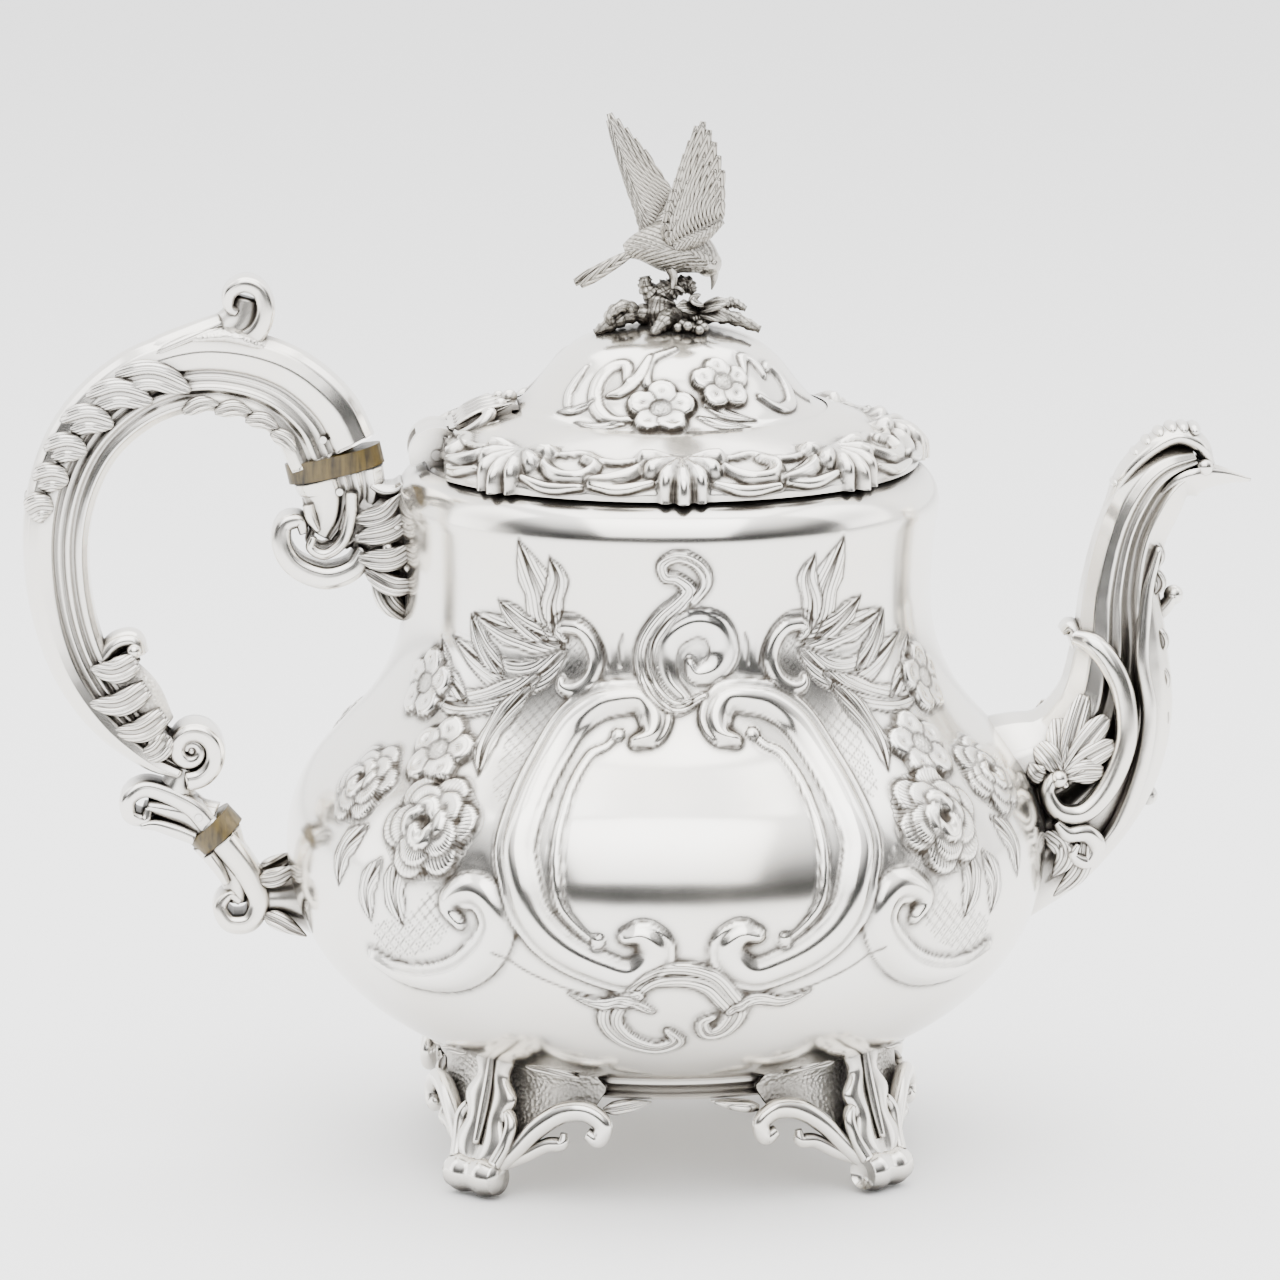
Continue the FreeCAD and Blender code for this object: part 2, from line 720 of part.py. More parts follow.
def make_flange():
    """Upright collar that hangs into the mouth, open behind for the hinge."""
    low, tall = LID_FLOOR - size("flange_depth"), size("flange_depth") + 1.5
    outer = Part.makeCylinder(size("flange_outer"), tall, V(0, 0, low))
    inner = Part.makeCylinder(size("flange_outer") - size("flange_thick"), tall + 2, V(0, 0, low - 1))
    return outer.cut([inner, box_between(V(-60, -9, 140), V(NOTCH, 9, 175))])


HINGE_LEAF = make_hinge_leaf()
DOME = make_dome()
feature("lid_hinge_leaf", HINGE_LEAF.cut([DOME, Part.makeCylinder(size("border_inner"), 10, V(0, 0, 160))]))
feature("lid_dome", DOME)
feature("lid_border", make_border())
feature("lid_flange", make_flange())


# ---------------------------------------------------------------- finial

def limb(stations):
    """Round casting through stations of x, y, z and radius."""
    wires = []
    for i, (x, y, z, radius) in enumerate(stations):
        before = stations[max(i - 1, 0)]
        after = stations[min(i + 1, len(stations) - 1)]
        along = V(after[0] - before[0], after[1] - before[1], after[2] - before[2])
        wires.append(Part.Wire(Part.Circle(V(x, y, z), along, radius).toShape()))
    return loft(wires)


def make_stump():
    """Gnarled stump with a twig to each side, standing on the dome."""
    crown = size("dome_crown")
    stump = limb([(1.0, 0, crown - 1.5, 7.5), (0.5, 0, crown + 1.8, 5.2), (-1.5, 0, crown + 5.0, 3.4),
                  (0.0, 0, crown + 9.0, 2.8), (1.0, 0, crown + 13.0, 2.6)])
    left = limb([(-2.0, 0, crown + 1.0, 2.4), (-9.0, -1.0, crown + 0.6, 1.8),
                 (-14.4, -1.5, crown - 0.6, 1.2)])
    right = limb([(3.0, 0, crown + 1.0, 2.4), (12.0, -1.0, crown + 0.8, 1.8),
                  (20.0, -1.5, crown - 0.6, 1.2)])
    tang = Part.makeCylinder(size("stud_radius"), 4.0, V(0, 0, crown - 2.2))
    return stump.fuse([left, right]).cut([dome_solid(), tang])


def make_wing(side, tilt):
    """One raised wing, from the shoulder up to its tip; `tilt` is how far the tip moves along X."""
    stations = ((1.5, 3.4, 208.0, 7.0, 1.6), (0.5, 7.0, 215.0, 8.0, 1.2), (0.0, 9.5, 223.0, 6.0, 0.9),
                (0.0, 11.0, 232.6, 2.2, 0.6))
    wires = []
    for k, (x, y, z, long, thick) in enumerate(stations):
        centre = V(x + tilt * k / 3, side * y, z)
        wires.append(oval(centre, V(0, side * 0.3, 1), V(1, 0, 0), long, thick))
    return loft(wires)


def make_torso():
    """The bird's body, from its tail over its back to its beak."""
    return limb([(-21.0, 0, 197.4, 0.8), (-14.0, 0, 200.4, 2.4), (-7.0, 0, 204.6, 4.4), (1.0, 0, 208.0, 6.4),
                 (6.6, 0, 205.4, 5.6), (8.4, 0, 200.6, 4.0), (9.0, 0, 195.6, 1.0)])


def make_bird_and_branch():
    branch, torso = make_stump(), make_torso()
    left, right = make_wing(1, -10.0), make_wing(-1, 5.6)
    leaf = outline_slab([(3.0, 190.0), (9.0, 194.0), (14.0, 191.6), (13.0, 188.8), (6.0, 188.2)], 2.0, -6.0)
    feature("finial_branch", branch.cut(torso))
    feature("bird_body", torso.cut([left, right]))
    feature("bird_wing_left", left)
    feature("bird_wing_right", right)
    feature("vine_leaf", leaf.cut([branch, torso]))


def make_fixing():
    """Stud through the crown, with a washer and a six-sided nut inside the dome."""
    radius, crown = size("stud_radius"), size("dome_crown")
    feature("finial_stud", Part.makeCylinder(radius, 9.8, V(0, 0, crown - 8.0)))
    seat = crown - size("dome_wall") - 1.2
    bore = Part.makeCylinder(radius, 40, V(0, 0, 160))
    washer = Part.makeCylinder(size("washer_radius"), 1.0, V(0, 0, seat - 0.2))
    feature("finial_washer", washer.cut([bore, DOME]))
    corners = [ring_point(size("nut_radius"), math.radians(60 * k), seat - 3.4) for k in range(7)]
    nut = Part.Face(Part.Wire(polyline(corners))).extrude(V(0, 0, size("nut_thick")))
    feature("finial_nut", nut.cut(bore))


make_bird_and_branch()
make_fixing()


# ---------------------------------------------------------------- hand-over

def check(obj):
    if {"Invalid", "Error"} & set(obj.State):
        raise RuntimeError("failed object: " + obj.Label)


doc.recompute()
for item in doc.Objects:
    check(item)
os.makedirs("parts", exist_ok=True)
for part in PARTS:
    if part.Shape.isNull() or not part.Shape.isValid():
        raise RuntimeError("bad shape: " + part.Label)
    part.Shape.exportStep(os.path.join("parts", part.Label + ".step"))
print("sub-parts:", len(PARTS))
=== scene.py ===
"""Silver teapot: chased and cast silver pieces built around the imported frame.

Lengths in the tables are millimetres, as in the design; `MM` turns them into metres.
The front of the pot faces -Y, the spout points to +X and the handle to -X.
"""

import json
import math

import bpy
import numpy as np
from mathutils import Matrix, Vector


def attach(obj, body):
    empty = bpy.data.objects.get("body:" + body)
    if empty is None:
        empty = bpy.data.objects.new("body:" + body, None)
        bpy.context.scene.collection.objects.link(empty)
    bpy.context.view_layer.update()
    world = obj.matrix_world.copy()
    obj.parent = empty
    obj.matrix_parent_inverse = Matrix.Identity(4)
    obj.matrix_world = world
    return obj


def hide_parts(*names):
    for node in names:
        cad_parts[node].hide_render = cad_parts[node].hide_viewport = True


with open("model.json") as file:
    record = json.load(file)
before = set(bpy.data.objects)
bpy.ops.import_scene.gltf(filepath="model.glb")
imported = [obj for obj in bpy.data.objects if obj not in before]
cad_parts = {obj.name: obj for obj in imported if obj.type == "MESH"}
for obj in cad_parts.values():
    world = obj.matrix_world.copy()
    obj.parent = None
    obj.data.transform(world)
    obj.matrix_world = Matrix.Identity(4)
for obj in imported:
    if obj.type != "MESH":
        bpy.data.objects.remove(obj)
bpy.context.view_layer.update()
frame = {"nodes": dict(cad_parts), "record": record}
MM = 0.001

# ---------------------------------------------------------------- camera, light and floor

CAMERA_TARGET = Vector((-0.006, 0.0, 0.116))
CAMERA_DISTANCE = 1.65
CAMERA_AZIMUTH = math.radians(-3.5)
CAMERA_ELEVATION = math.radians(11.0)
FRAME_WIDTH = 0.288
SENSOR = 36.0


def direction(azimuth, elevation):
    """Unit vector from the object to a viewpoint; azimuth 0 is the front."""
    flat = math.cos(elevation)
    return Vector((math.sin(azimuth) * flat, -math.cos(azimuth) * flat, math.sin(elevation)))


def aim(obj, place, target):
    obj.location = place
    obj.rotation_euler = (target - place).to_track_quat("-Z", "Y").to_euler()


def make_camera():
    data = bpy.data.cameras.new("camera")
    data.sensor_width = SENSOR
    data.lens = SENSOR * CAMERA_DISTANCE / FRAME_WIDTH
    camera = bpy.data.objects.new("camera", data)
    bpy.context.collection.objects.link(camera)
    away = direction(CAMERA_AZIMUTH, CAMERA_ELEVATION)
    aim(camera, CAMERA_TARGET + away * CAMERA_DISTANCE, CAMERA_TARGET)
    bpy.context.scene.camera = camera


def softbox(name, azimuth, elevation, distance, wide, tall, watts):
    data = bpy.data.lights.new(name, "AREA")
    data.shape = "RECTANGLE"
    data.size = wide
    data.size_y = tall
    data.energy = watts
    light = bpy.data.objects.new(name, data)
    bpy.context.collection.objects.link(light)
    away = direction(math.radians(azimuth), math.radians(elevation))
    aim(light, CAMERA_TARGET + away * distance, CAMERA_TARGET)


def make_world():
    """Pale room behind the object; a dim band at eye level in front, under bright ceilings."""
    world = bpy.data.worlds.new("studio")
    bpy.context.scene.world = world
    world.use_nodes = True
    nodes, links = world.node_tree.nodes, world.node_tree.links
    coords = nodes.new("ShaderNodeTexCoord")
    split = nodes.new("ShaderNodeSeparateXYZ")
    links.new(coords.outputs["Generated"], split.inputs[0])
    ramp = nodes.new("ShaderNodeValToRGB")
    links.new(spread(nodes, links, split.outputs["Z"], -0.2, 0.8, 0.0, 1.0), ramp.inputs[0])
    stops = ramp.color_ramp.elements
    for position, level in ((0.0, 0.17), (0.16, 0.09), (0.24, 0.01), (0.40, 0.02), (0.58, 0.14), (1.0, 0.25)):
        stop = stops.new(position)
        stop.color = (level, level, level * 1.01, 1)
    stops.remove(stops[-1])
    stops.remove(stops[0])
    sideways = math_node(nodes, links, "ABSOLUTE", split.outputs["X"])
    sides = spread(nodes, links, sideways, 0.72, 0.88, 0.0, 0.7)
    behind = spread(nodes, links, split.outputs["Y"], 0.0, 0.45, 0.0, 1.0)
    ends = spread(nodes, links, sideways, 0.92, 0.98, 0.0, 1.0)
    dimmed = mix_colour(nodes, links, sides, ramp.outputs[0], (0.05, 0.05, 0.051, 1))
    pale_ends = mix_colour(nodes, links, ends, dimmed, (0.45, 0.45, 0.45, 1))
    background = nodes["Background"].inputs
    links.new(mix_colour(nodes, links, behind, pale_ends, (0.97, 0.97, 0.97, 1)), background["Color"])
    background["Strength"].default_value = 3.0


def make_floor():
    bpy.ops.mesh.primitive_plane_add(size=14.0, location=(0, 0, -0.0002))
    floor = bpy.context.object
    floor.name = "floor"
    floor.data.materials.append(paper())


# ---------------------------------------------------------------- materials

def new_material(name):
    material = bpy.data.materials.new(name)
    material.use_nodes = True
    return material, material.node_tree.nodes, material.node_tree.links


def paper():
    material, nodes, links = new_material("floor_paper")
    shader = nodes["Principled BSDF"]
    shader.inputs["Base Color"].default_value = (0.93, 0.93, 0.93, 1)
    shader.inputs["Roughness"].default_value = 0.9
    return material


def attribute(nodes, name):
    node = nodes.new("ShaderNodeAttribute")
    node.attribute_name = name
    return node.outputs["Fac"]


def math_node(nodes, links, operation, first, second=None, clamp=False):
    node = nodes.new("ShaderNodeMath")
    node.operation = operation
    node.use_clamp = clamp
    for socket, value in zip(node.inputs, (first, second)):
        if value is None:
            continue
        if hasattr(value, "is_linked"):
            links.new(value, socket)
        else:
            socket.default_value = value
    return node.outputs[0]


def noise(nodes, links, coords, scale, detail=3.0):
    node = nodes.new("ShaderNodeTexNoise")
    node.inputs["Scale"].default_value = scale
    node.inputs["Detail"].default_value = detail
    links.new(coords, node.inputs["Vector"])
    return node.outputs["Fac"]


def mix_colour(nodes, links, factor, first, second):
    node = nodes.new("ShaderNodeMix")
    node.data_type = "RGBA"
    for socket, value in zip((node.inputs[0], node.inputs[6], node.inputs[7]), (factor, first, second)):
        if hasattr(value, "is_linked"):
            links.new(value, socket)
        else:
            socket.default_value = value
    return node.outputs[2]


def spread(nodes, links, value, low, high, to_low, to_high):
    node = nodes.new("ShaderNodeMapRange")
    links.new(value, node.inputs["Value"])
    for name, number in (("From Min", low), ("From Max", high), ("To Min", to_low), ("To Max", to_high)):
        node.inputs[name].default_value = number
    return node.outputs["Result"]


def bump(nodes, links, height, distance, strength, below=None):
    node = nodes.new("ShaderNodeBump")
    node.inputs["Distance"].default_value = distance
    node.inputs["Strength"].default_value = strength
    links.new(height, node.inputs["Height"])
    if below is not None:
        links.new(below, node.inputs["Normal"])
    return node.outputs["Normal"]


def silver(name, bright, dark, polish, satin, handmade=0.2):
    """Old silver: bright where it is rubbed, brown-grey in the recesses from tarnish and from painted shade.

    The pieces carry three vertex attributes: `tarnish` in the recesses, `matted` on
    punched grounds and `hatch`, the phase of engraved lines, shown where `cut` is set.
    """
    material, nodes, links = new_material(name)
    shader = nodes["Principled BSDF"]
    shader.inputs["Metallic"].default_value = 1.0
    coords = nodes.new("ShaderNodeTexCoord").outputs["Object"]
    broad = noise(nodes, links, coords, 38.0)
    fine = noise(nodes, links, coords, 420.0, 4.0)
    tarnish = attribute(nodes, "tarnish")
    patchy = math_node(nodes, links, "MULTIPLY", tarnish, spread(nodes, links, fine, 0.3, 0.7, 0.75, 1.15))
    phase = math_node(nodes, links, "MULTIPLY", attribute(nodes, "hatch"), math.pi)
    wave = math_node(nodes, links, "ABSOLUTE", math_node(nodes, links, "SINE", phase))
    lines = math_node(nodes, links, "POWER", wave, 0.5)
    cut = attribute(nodes, "cut")
    groove = math_node(nodes, links, "MULTIPLY", math_node(nodes, links, "SUBTRACT", 1.0, lines), cut)
    # Painted shade: an ambient occlusion node darkens the colour where other surfaces lie within 6 mm, in
    # recesses and between parts. It also stands for tarnish in the recesses.
    hidden = nodes.new("ShaderNodeAmbientOcclusion")
    hidden.samples = 4
    hidden.inputs["Distance"].default_value = 0.006
    occlusion_shade_and_tarnish = spread(nodes, links, hidden.outputs["AO"], 0.40, 0.94, 1.0, 0.0)
    # The colour goes towards the brown with tarnish, with engraved lines and with the painted occlusion
    # shade.
    tarnish_and_shade = math_node(nodes, links, "ADD", patchy, math_node(nodes, links, "MULTIPLY", groove, 0.85))
    tarnish_and_shade = math_node(nodes, links, "ADD", tarnish_and_shade, occlusion_shade_and_tarnish, clamp=True)
    warm = mix_colour(nodes, links, spread(nodes, links, broad, 0.35, 0.7, 0.0, 1.0), bright,
        tuple(c * k for c, k in zip(bright[:3], (0.985, 0.965, 0.93))) + (1,))
    links.new(mix_colour(nodes, links, tarnish_and_shade, warm, dark), shader.inputs["Base Color"])
    matted = attribute(nodes, "matted")
    rough = spread(nodes, links, broad, 0.3, 0.7, polish, polish + 0.05)
    rough = math_node(nodes, links, "ADD", rough, math_node(nodes, links, "MULTIPLY", matted, satin))
    rough = math_node(nodes, links, "ADD", rough, math_node(nodes, links, "MULTIPLY", tarnish_and_shade, 0.25), clamp=True)
    links.new(rough, shader.inputs["Roughness"])
    punches = nodes.new("ShaderNodeTexVoronoi")
    punches.inputs["Scale"].default_value = 1100.0
    links.new(coords, punches.inputs["Vector"])
    stipple = math_node(nodes, links, "MULTIPLY", punches.outputs["Distance"], matted)
    normal = bump(nodes, links, broad, 0.0012, handmade)
    normal = bump(nodes, links, stipple, 0.0004, 0.8, normal)
    depth = math_node(nodes, links, "MULTIPLY", groove, -1.0)
    normal = bump(nodes, links, depth, 0.00022, 0.9, normal)
    links.new(normal, shader.inputs["Normal"])
    return material


def aged_bone():
    """Yellow-brown bone with darker grain lines across the band."""
    material, nodes, links = new_material("bone")
    shader = nodes["Principled BSDF"]
    coords = nodes.new("ShaderNodeTexCoord").outputs["Object"]
    stretch = nodes.new("ShaderNodeMapping")
    stretch.inputs["Scale"].default_value = (1.0, 1.0, 0.12)
    links.new(coords, stretch.inputs["Vector"])
    grain = noise(nodes, links, stretch.outputs[0], 900.0, 5.0)
    cloud = noise(nodes, links, coords, 160.0)
    base = mix_colour(nodes, links, spread(nodes, links, grain, 0.38, 0.66, 0.0, 1.0),
        (0.095, 0.066, 0.018, 1), (0.018, 0.012, 0.005, 1))
    links.new(mix_colour(nodes, links, spread(nodes, links, cloud, 0.4, 0.75, 0.0, 0.7), base,
        (0.15, 0.105, 0.036, 1)), shader.inputs["Base Color"])
    links.new(spread(nodes, links, grain, 0.3, 0.7, 0.28, 0.42), shader.inputs["Roughness"])
    links.new(bump(nodes, links, grain, 0.0002, 0.5), shader.inputs["Normal"])
    return material


# Brown of tarnish and of painted shade: the dark end of every silver.
TARNISH_AND_SHADE_BROWN = (0.05, 0.042, 0.034, 1)
CHASED = silver("chased_silver", (0.90, 0.878, 0.835, 1), TARNISH_AND_SHADE_BROWN, 0.13, 0.28, 0.10)
CAST = silver("cast_silver", (0.86, 0.835, 0.79, 1), TARNISH_AND_SHADE_BROWN, 0.15, 0.25, 0.30)
SATIN = silver("satin_silver", (0.47, 0.45, 0.41, 1), TARNISH_AND_SHADE_BROWN, 0.20, 0.12, 0.45)
PLAIN = silver("plain_silver", (0.84, 0.82, 0.79, 1), TARNISH_AND_SHADE_BROWN, 0.2, 0.2, 0.08)
BONE = aged_bone()


# ---------------------------------------------------------------- mesh tools

def make_object(name, points, faces, material, body, attributes=None):
    """New smooth-shaded piece from points in millimetres, riding on a body."""
    mesh = bpy.data.meshes.new(name)
    points = np.asarray(points, dtype=np.float32)
    faces = np.asarray(faces, dtype=np.int32)
    mesh.vertices.add(len(points))
    mesh.vertices.foreach_set("co", (points * MM).ravel())
    sides = faces.shape[1]
    mesh.loops.add(faces.size)
    mesh.loops.foreach_set("vertex_index", faces.ravel())
    mesh.polygons.add(len(faces))
    mesh.polygons.foreach_set("loop_start", np.arange(0, faces.size, sides, dtype=np.int32))
    mesh.update(calc_edges=True)
    mesh.validate()
    mesh.shade_smooth()
    for key, values in (attributes or {}).items():
        layer = mesh.attributes.new(key, "FLOAT", "POINT")
        layer.data.foreach_set("value", np.asarray(values, dtype=np.float32).ravel())
    mesh.materials.append(material)
    obj = bpy.data.objects.new(name, mesh)
    bpy.context.collection.objects.link(obj)
    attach(obj, body)
    return obj


def grid_faces(rows, columns, wrap):
    """Quads of a grid of points stored row by row; `wrap` joins the last column to the first."""
    index = np.arange(rows * columns).reshape(rows, columns)
    if wrap:
        index = np.concatenate([index, index[:, :1]], axis=1)
    low_left, low_right = index[:-1, :-1], index[:-1, 1:]
    up_left, up_right = index[1:, :-1], index[1:, 1:]
    return np.stack([low_left, low_right, up_right, up_left], axis=-1).reshape(-1, 4)


def smooth_path(points, samples):
    """Catmull-Rom curve through the points; any number of coordinates each."""
    points = np.asarray(points, dtype=float)
    if len(points) == 2:
        return points[0] + np.linspace(0, 1, samples)[:, None] * (points[1] - points[0])
    ends = [2 * points[0] - points[1]], [2 * points[-1] - points[-2]]
    control = np.concatenate([ends[0], points, ends[1]])
    spans = len(points) - 1
    place = np.linspace(0, spans, samples)
    span = np.minimum(place.astype(int), spans - 1)
    t = (place - span)[:, None]
    p0, p1, p2, p3 = (control[span + k] for k in range(4))
    return 0.5 * (2 * p1 + (p2 - p0) * t + (2 * p0 - 5 * p1 + 4 * p2 - p3) * t ** 2
        + (3 * p1 - p0 - 3 * p2 + p3) * t ** 3)


def blur(field, passes, wrap):
    """Small smoothing of a grid, repeated."""
    for _ in range(passes):
        padded = np.pad(field, ((1, 1), (0, 0)), mode="edge")
        field = (padded[:-2] + 2 * field + padded[2:]) / 4
        padded = np.pad(field, ((0, 0), (1, 1)), mode="wrap" if wrap else "edge")
        field = (padded[:, :-2] + 2 * field + padded[:, 2:]) / 4
    return field


LINE_WIDTH = 0.34


class Chasing:
    """Relief on a turned surface: rows run up the outline, columns round the axis.

    Places on it are (angle in degrees, height in mm), with angle 0 at the front and
    positive towards the spout. Heights and widths are in millimetres.
    """

    def __init__(self, outline, angles, by_radius=False):
        outline = np.asarray(outline, dtype=float)
        self.radius, self.height = outline[:, 0], outline[:, 1]
        steps = np.hypot(np.diff(self.radius), np.diff(self.height))
        self.along = np.concatenate([[0], np.cumsum(steps)])
        self.key = -self.radius if by_radius else self.height
        self.by_radius = by_radius
        self.angles = np.radians(angles)
        shape = (len(outline), len(angles))
        self.relief = np.zeros(shape)
        self.matted = np.zeros(shape)
        self.hatch = np.zeros(shape)
        self.cut = np.zeros(shape)
        self.ink = np.zeros(shape)

    def place(self, points):
        """(angle, height) points as (angle in radians, distance along the outline)."""
        points = np.asarray(points, dtype=float)
        level = -points[:, 1] if self.by_radius else points[:, 1]
        return np.stack([np.radians(points[:, 0]), np.interp(level, self.key, self.along)], axis=-1)

    def window(self, path, margin):
        """Cells within a margin of a path, with their place along, angle and radius."""
        low, high = path.min(axis=0), path.max(axis=0)
        rows = np.nonzero((self.along > low[1] - margin) & (self.along < high[1] + margin))[0]
        reach = margin / max(np.interp(path[:, 1].mean(), self.along, self.radius), 8.0)
        columns = np.nonzero((self.angles > low[0] - reach) & (self.angles < high[0] + reach))[0]
        if len(rows) == 0 or len(columns) == 0:
            return None
        cells = np.ix_(rows, columns)
        return cells, self.along[rows][:, None], self.angles[columns][None, :], self.radius[rows][:, None]

    def nearest(self, path, along, angle, radius):
        """Distance, side and place along a path for each grid point of a window."""
        best = np.full(np.broadcast(along, angle).shape, 1e9)
        side, part = np.zeros_like(best), np.zeros_like(best)
        count = len(path) - 1
        for k in range(count):
            (a0, s0), (a1, s1) = path[k], path[k + 1]
            dx, dy = radius * (a1 - a0), s1 - s0
            px, py = radius * (angle - a0), along - s0
            t = np.clip((px * dx + py * dy) / (dx * dx + dy * dy + 1e-12), 0, 1)
            gap = (px - t * dx) ** 2 + (py - t * dy) ** 2
            closer = gap < best
            best = np.where(closer, gap, best)
            side = np.where(closer, np.sign(dx * py - dy * px), side)
            part = np.where(closer, (k + t) / count, part)
        return np.sqrt(best), side, part

    def stroke(self, points, width, height, profile="rib", samples=0, matted=0.0, hatch=0.0):
        """One chased or engraved stroke along a smooth curve.

        `width` is its half width, one number or several spread along the stroke.
        """
        path = self.place(points)
        path = smooth_path(path, samples or 7 * len(points))
        widths = np.atleast_1d(np.asarray(width, dtype=float))
        found = self.window(path, widths.max() * 1.3)
        if found is None:
            return
        cells, along, angle, radius = found
        gap, side, part = self.nearest(path, along, angle, radius)
        half = np.interp(part, np.linspace(0, 1, len(widths)), widths)
        across = np.clip(gap / np.maximum(half, 1e-6), 0, 1.3)
        shape = PROFILES[profile](across, side)
        self.lay(cells, shape * height, profile)
        inside = across < 1
        line = np.exp(-((gap - (0 if profile == "cut" else half)) / LINE_WIDTH) ** 2) * 0.95
        if profile == "cut":
            self.ink[cells] = np.maximum(self.ink[cells], line)
        else:
            self.relief[cells] -= np.where(inside, 0.0, 0.22 * line)
            self.ink[cells] = np.where(gap < half - LINE_WIDTH, 0.0, np.maximum(self.ink[cells], line))
        if matted:
            self.matted[cells] = np.where(inside, matted, self.matted[cells])
        if hatch:
            self.hatch[cells] = np.where(inside, gap / hatch + part * 1.5 + 0.5, self.hatch[cells])
            self.cut[cells] = np.where(inside, np.clip(1.4 - across, 0, 1), self.cut[cells])

    def lay(self, cells, shape, profile):
        current = self.relief[cells]
        if profile == "cut":
            self.relief[cells] = current + shape
        else:
            self.relief[cells] = np.maximum(current, shape)

    def dome(self, place, size, height, shape):
        """Something round, such as a flower: `shape` gives height from radius and angle."""
        (angle0, along0), = self.place([place])
        found = self.window(np.array([[angle0, along0]]), size * 1.25)
        if found is None:
            return
        cells, along, angle, radius = found
        across, up = radius * (angle - angle0), along - along0
        rho, turn = np.hypot(across, up) / size, np.arctan2(up, across)
        relief, matted, hatch, cut, ink = shape(rho, turn)
        raised = np.maximum(relief * height, self.relief[cells] * (rho > 0.9))
        self.relief[cells] = np.where(rho < 1.15, raised, self.relief[cells])
        inside = rho < 0.98
        self.matted[cells] = np.where(inside, matted, self.matted[cells])
        self.hatch[cells] = np.where(inside, hatch, self.hatch[cells])
        self.cut[cells] = np.where(inside, cut, self.cut[cells])
        rim = np.where(rho < 1.05, np.maximum(ink, self.ink[cells]), self.ink[cells])
        self.ink[cells] = np.where(inside, ink, rim)

    def repeated(self, reach, gain):
        """Relief and marks of both halves, with the tarnish of hollows and cut lines."""
        keys = ("relief", "matted", "hatch", "cut", "ink")
        fields = {key: np.concatenate([getattr(self, key)] * 2, axis=1) for key in keys}
        relief = blur(fields.pop("relief"), 1, True)
        hollows = np.clip((blur(relief, reach, True) - relief) * gain - 0.04, 0, 1)
        fields["tarnish"] = np.maximum(hollows, fields.pop("ink"))
        return relief, np.concatenate([self.angles, self.angles + math.pi]), fields


def half_round(across, side):
    return np.sqrt(np.clip(1 - across ** 2, 0, 1))


def scroll_section(across, side):
    """Broad scroll: rounded ridge with a sunk channel and a thin rim on its inner side."""
    signed = np.clip(across * side, -1, 1)
    places = (-1.0, -0.9, -0.78, -0.62, -0.30, 0.05, 0.35, 0.52, 0.66, 0.80, 0.92, 1.0)
    levels = (0.0, 0.42, 0.28, 0.62, 0.92, 1.0, 0.80, 0.45, 0.30, 0.52, 0.38, 0.0)
    return np.interp(signed, places, levels) * (across <= 1)


def mirrored_scroll(across, side):
    return scroll_section(across, -side)


def leaf_section(across, side):
    """Leaf blade: raised edges, sunk vein."""
    edge = np.sqrt(np.clip(1 - across ** 3, 0, 1))
    return (0.35 + 0.65 * np.clip(across * 2.2, 0, 1)) * edge * (across < 1)


def groove(across, side):
    return -np.exp(-(across * 1.6) ** 2) * (across < 1.25)


PROFILES = {"rib": half_round, "scroll": scroll_section, "scroll_left": mirrored_scroll,
    "leaf": leaf_section, "cut": groove}


def petals(rho, turn, rings):
    """Overlapping round petals: rings of (count, reach, radius, level, first angle)."""
    x, y = rho * np.cos(turn), rho * np.sin(turn)
    relief, ink = np.zeros_like(rho), np.zeros_like(rho)
    for count, reach, radius, level, first in rings:
        for k in range(count):
            angle = first + 2 * math.pi * k / count
            gap = np.hypot(x - reach * math.cos(angle), y - reach * math.sin(angle)) / radius
            inside = gap < 1
            cup = level * (0.62 + 0.38 * np.sqrt(np.clip(1 - (gap - 0.55) ** 2 * 4, 0, 1)))
            relief = np.where(inside, cup, relief)
            edge = np.exp(-((gap - 1) * radius * 17) ** 2) * 0.9
            ink = np.where(inside & (gap < 0.93), 0.0, np.maximum(ink, edge))
    return relief, ink


def five_petals(rho, turn):
    """Open flower with a punched centre."""
    relief, ink = petals(rho, turn, ((5, 0.58, 0.42, 0.9, 0.3),))
    button = rho < 0.27
    relief = np.where(button, 0.35 + 0.5 * np.sqrt(np.clip(1 - (rho / 0.27) ** 2, 0, 1)), relief)
    ring = np.exp(-((rho - 0.29) * 17) ** 2)
    ink = np.where(button, 0.25, np.maximum(ink, 0.9 * ring))
    veins = np.clip(0.75 - rho, 0, 0.5) * (rho > 0.3)
    return relief, button * 1.0, turn * 30 / math.pi, veins, ink


def rose(rho, turn):
    """Full rose: three rings of overlapping petals round a dark heart."""
    relief, ink = petals(rho, turn, ((6, 0.64, 0.36, 0.42, 0.2), (5, 0.42, 0.34, 0.68, 0.8),
        (4, 0.2, 0.27, 0.95, 0.1)))
    heart = rho < 0.13
    relief = np.where(heart, 0.55, relief)
    ink = np.where(heart, 0.9, ink)
    return relief, np.zeros_like(rho), turn * 34 / math.pi, 0.35 * (rho > 0.45), ink


def bead(rho, turn):
    flat_field = np.zeros_like(rho)
    return half_round(rho, 0), flat_field, flat_field, flat_field, np.exp(-((rho - 1) * 5) ** 2)


# ---------------------------------------------------------------- chased body

BODY_CHAIN = ((56.5, 36.4), (42.5, 43), (31, 42.6), (None, 11.6), (40, -42.6), (111.5, -10), (8.3, 84))
SKIN = 0.45  # how far the chased surface stands out of the smooth body
BASE_RADIUS, BASE_HEIGHT, BASE_HEADING = 43, 25, 10.6  # where the outline starts, and its rise in degrees
BODY_GIRTH, DOME_GIRTH, BORDER_GIRTH = 85, 32, 52  # radii that set the spacing of the columns


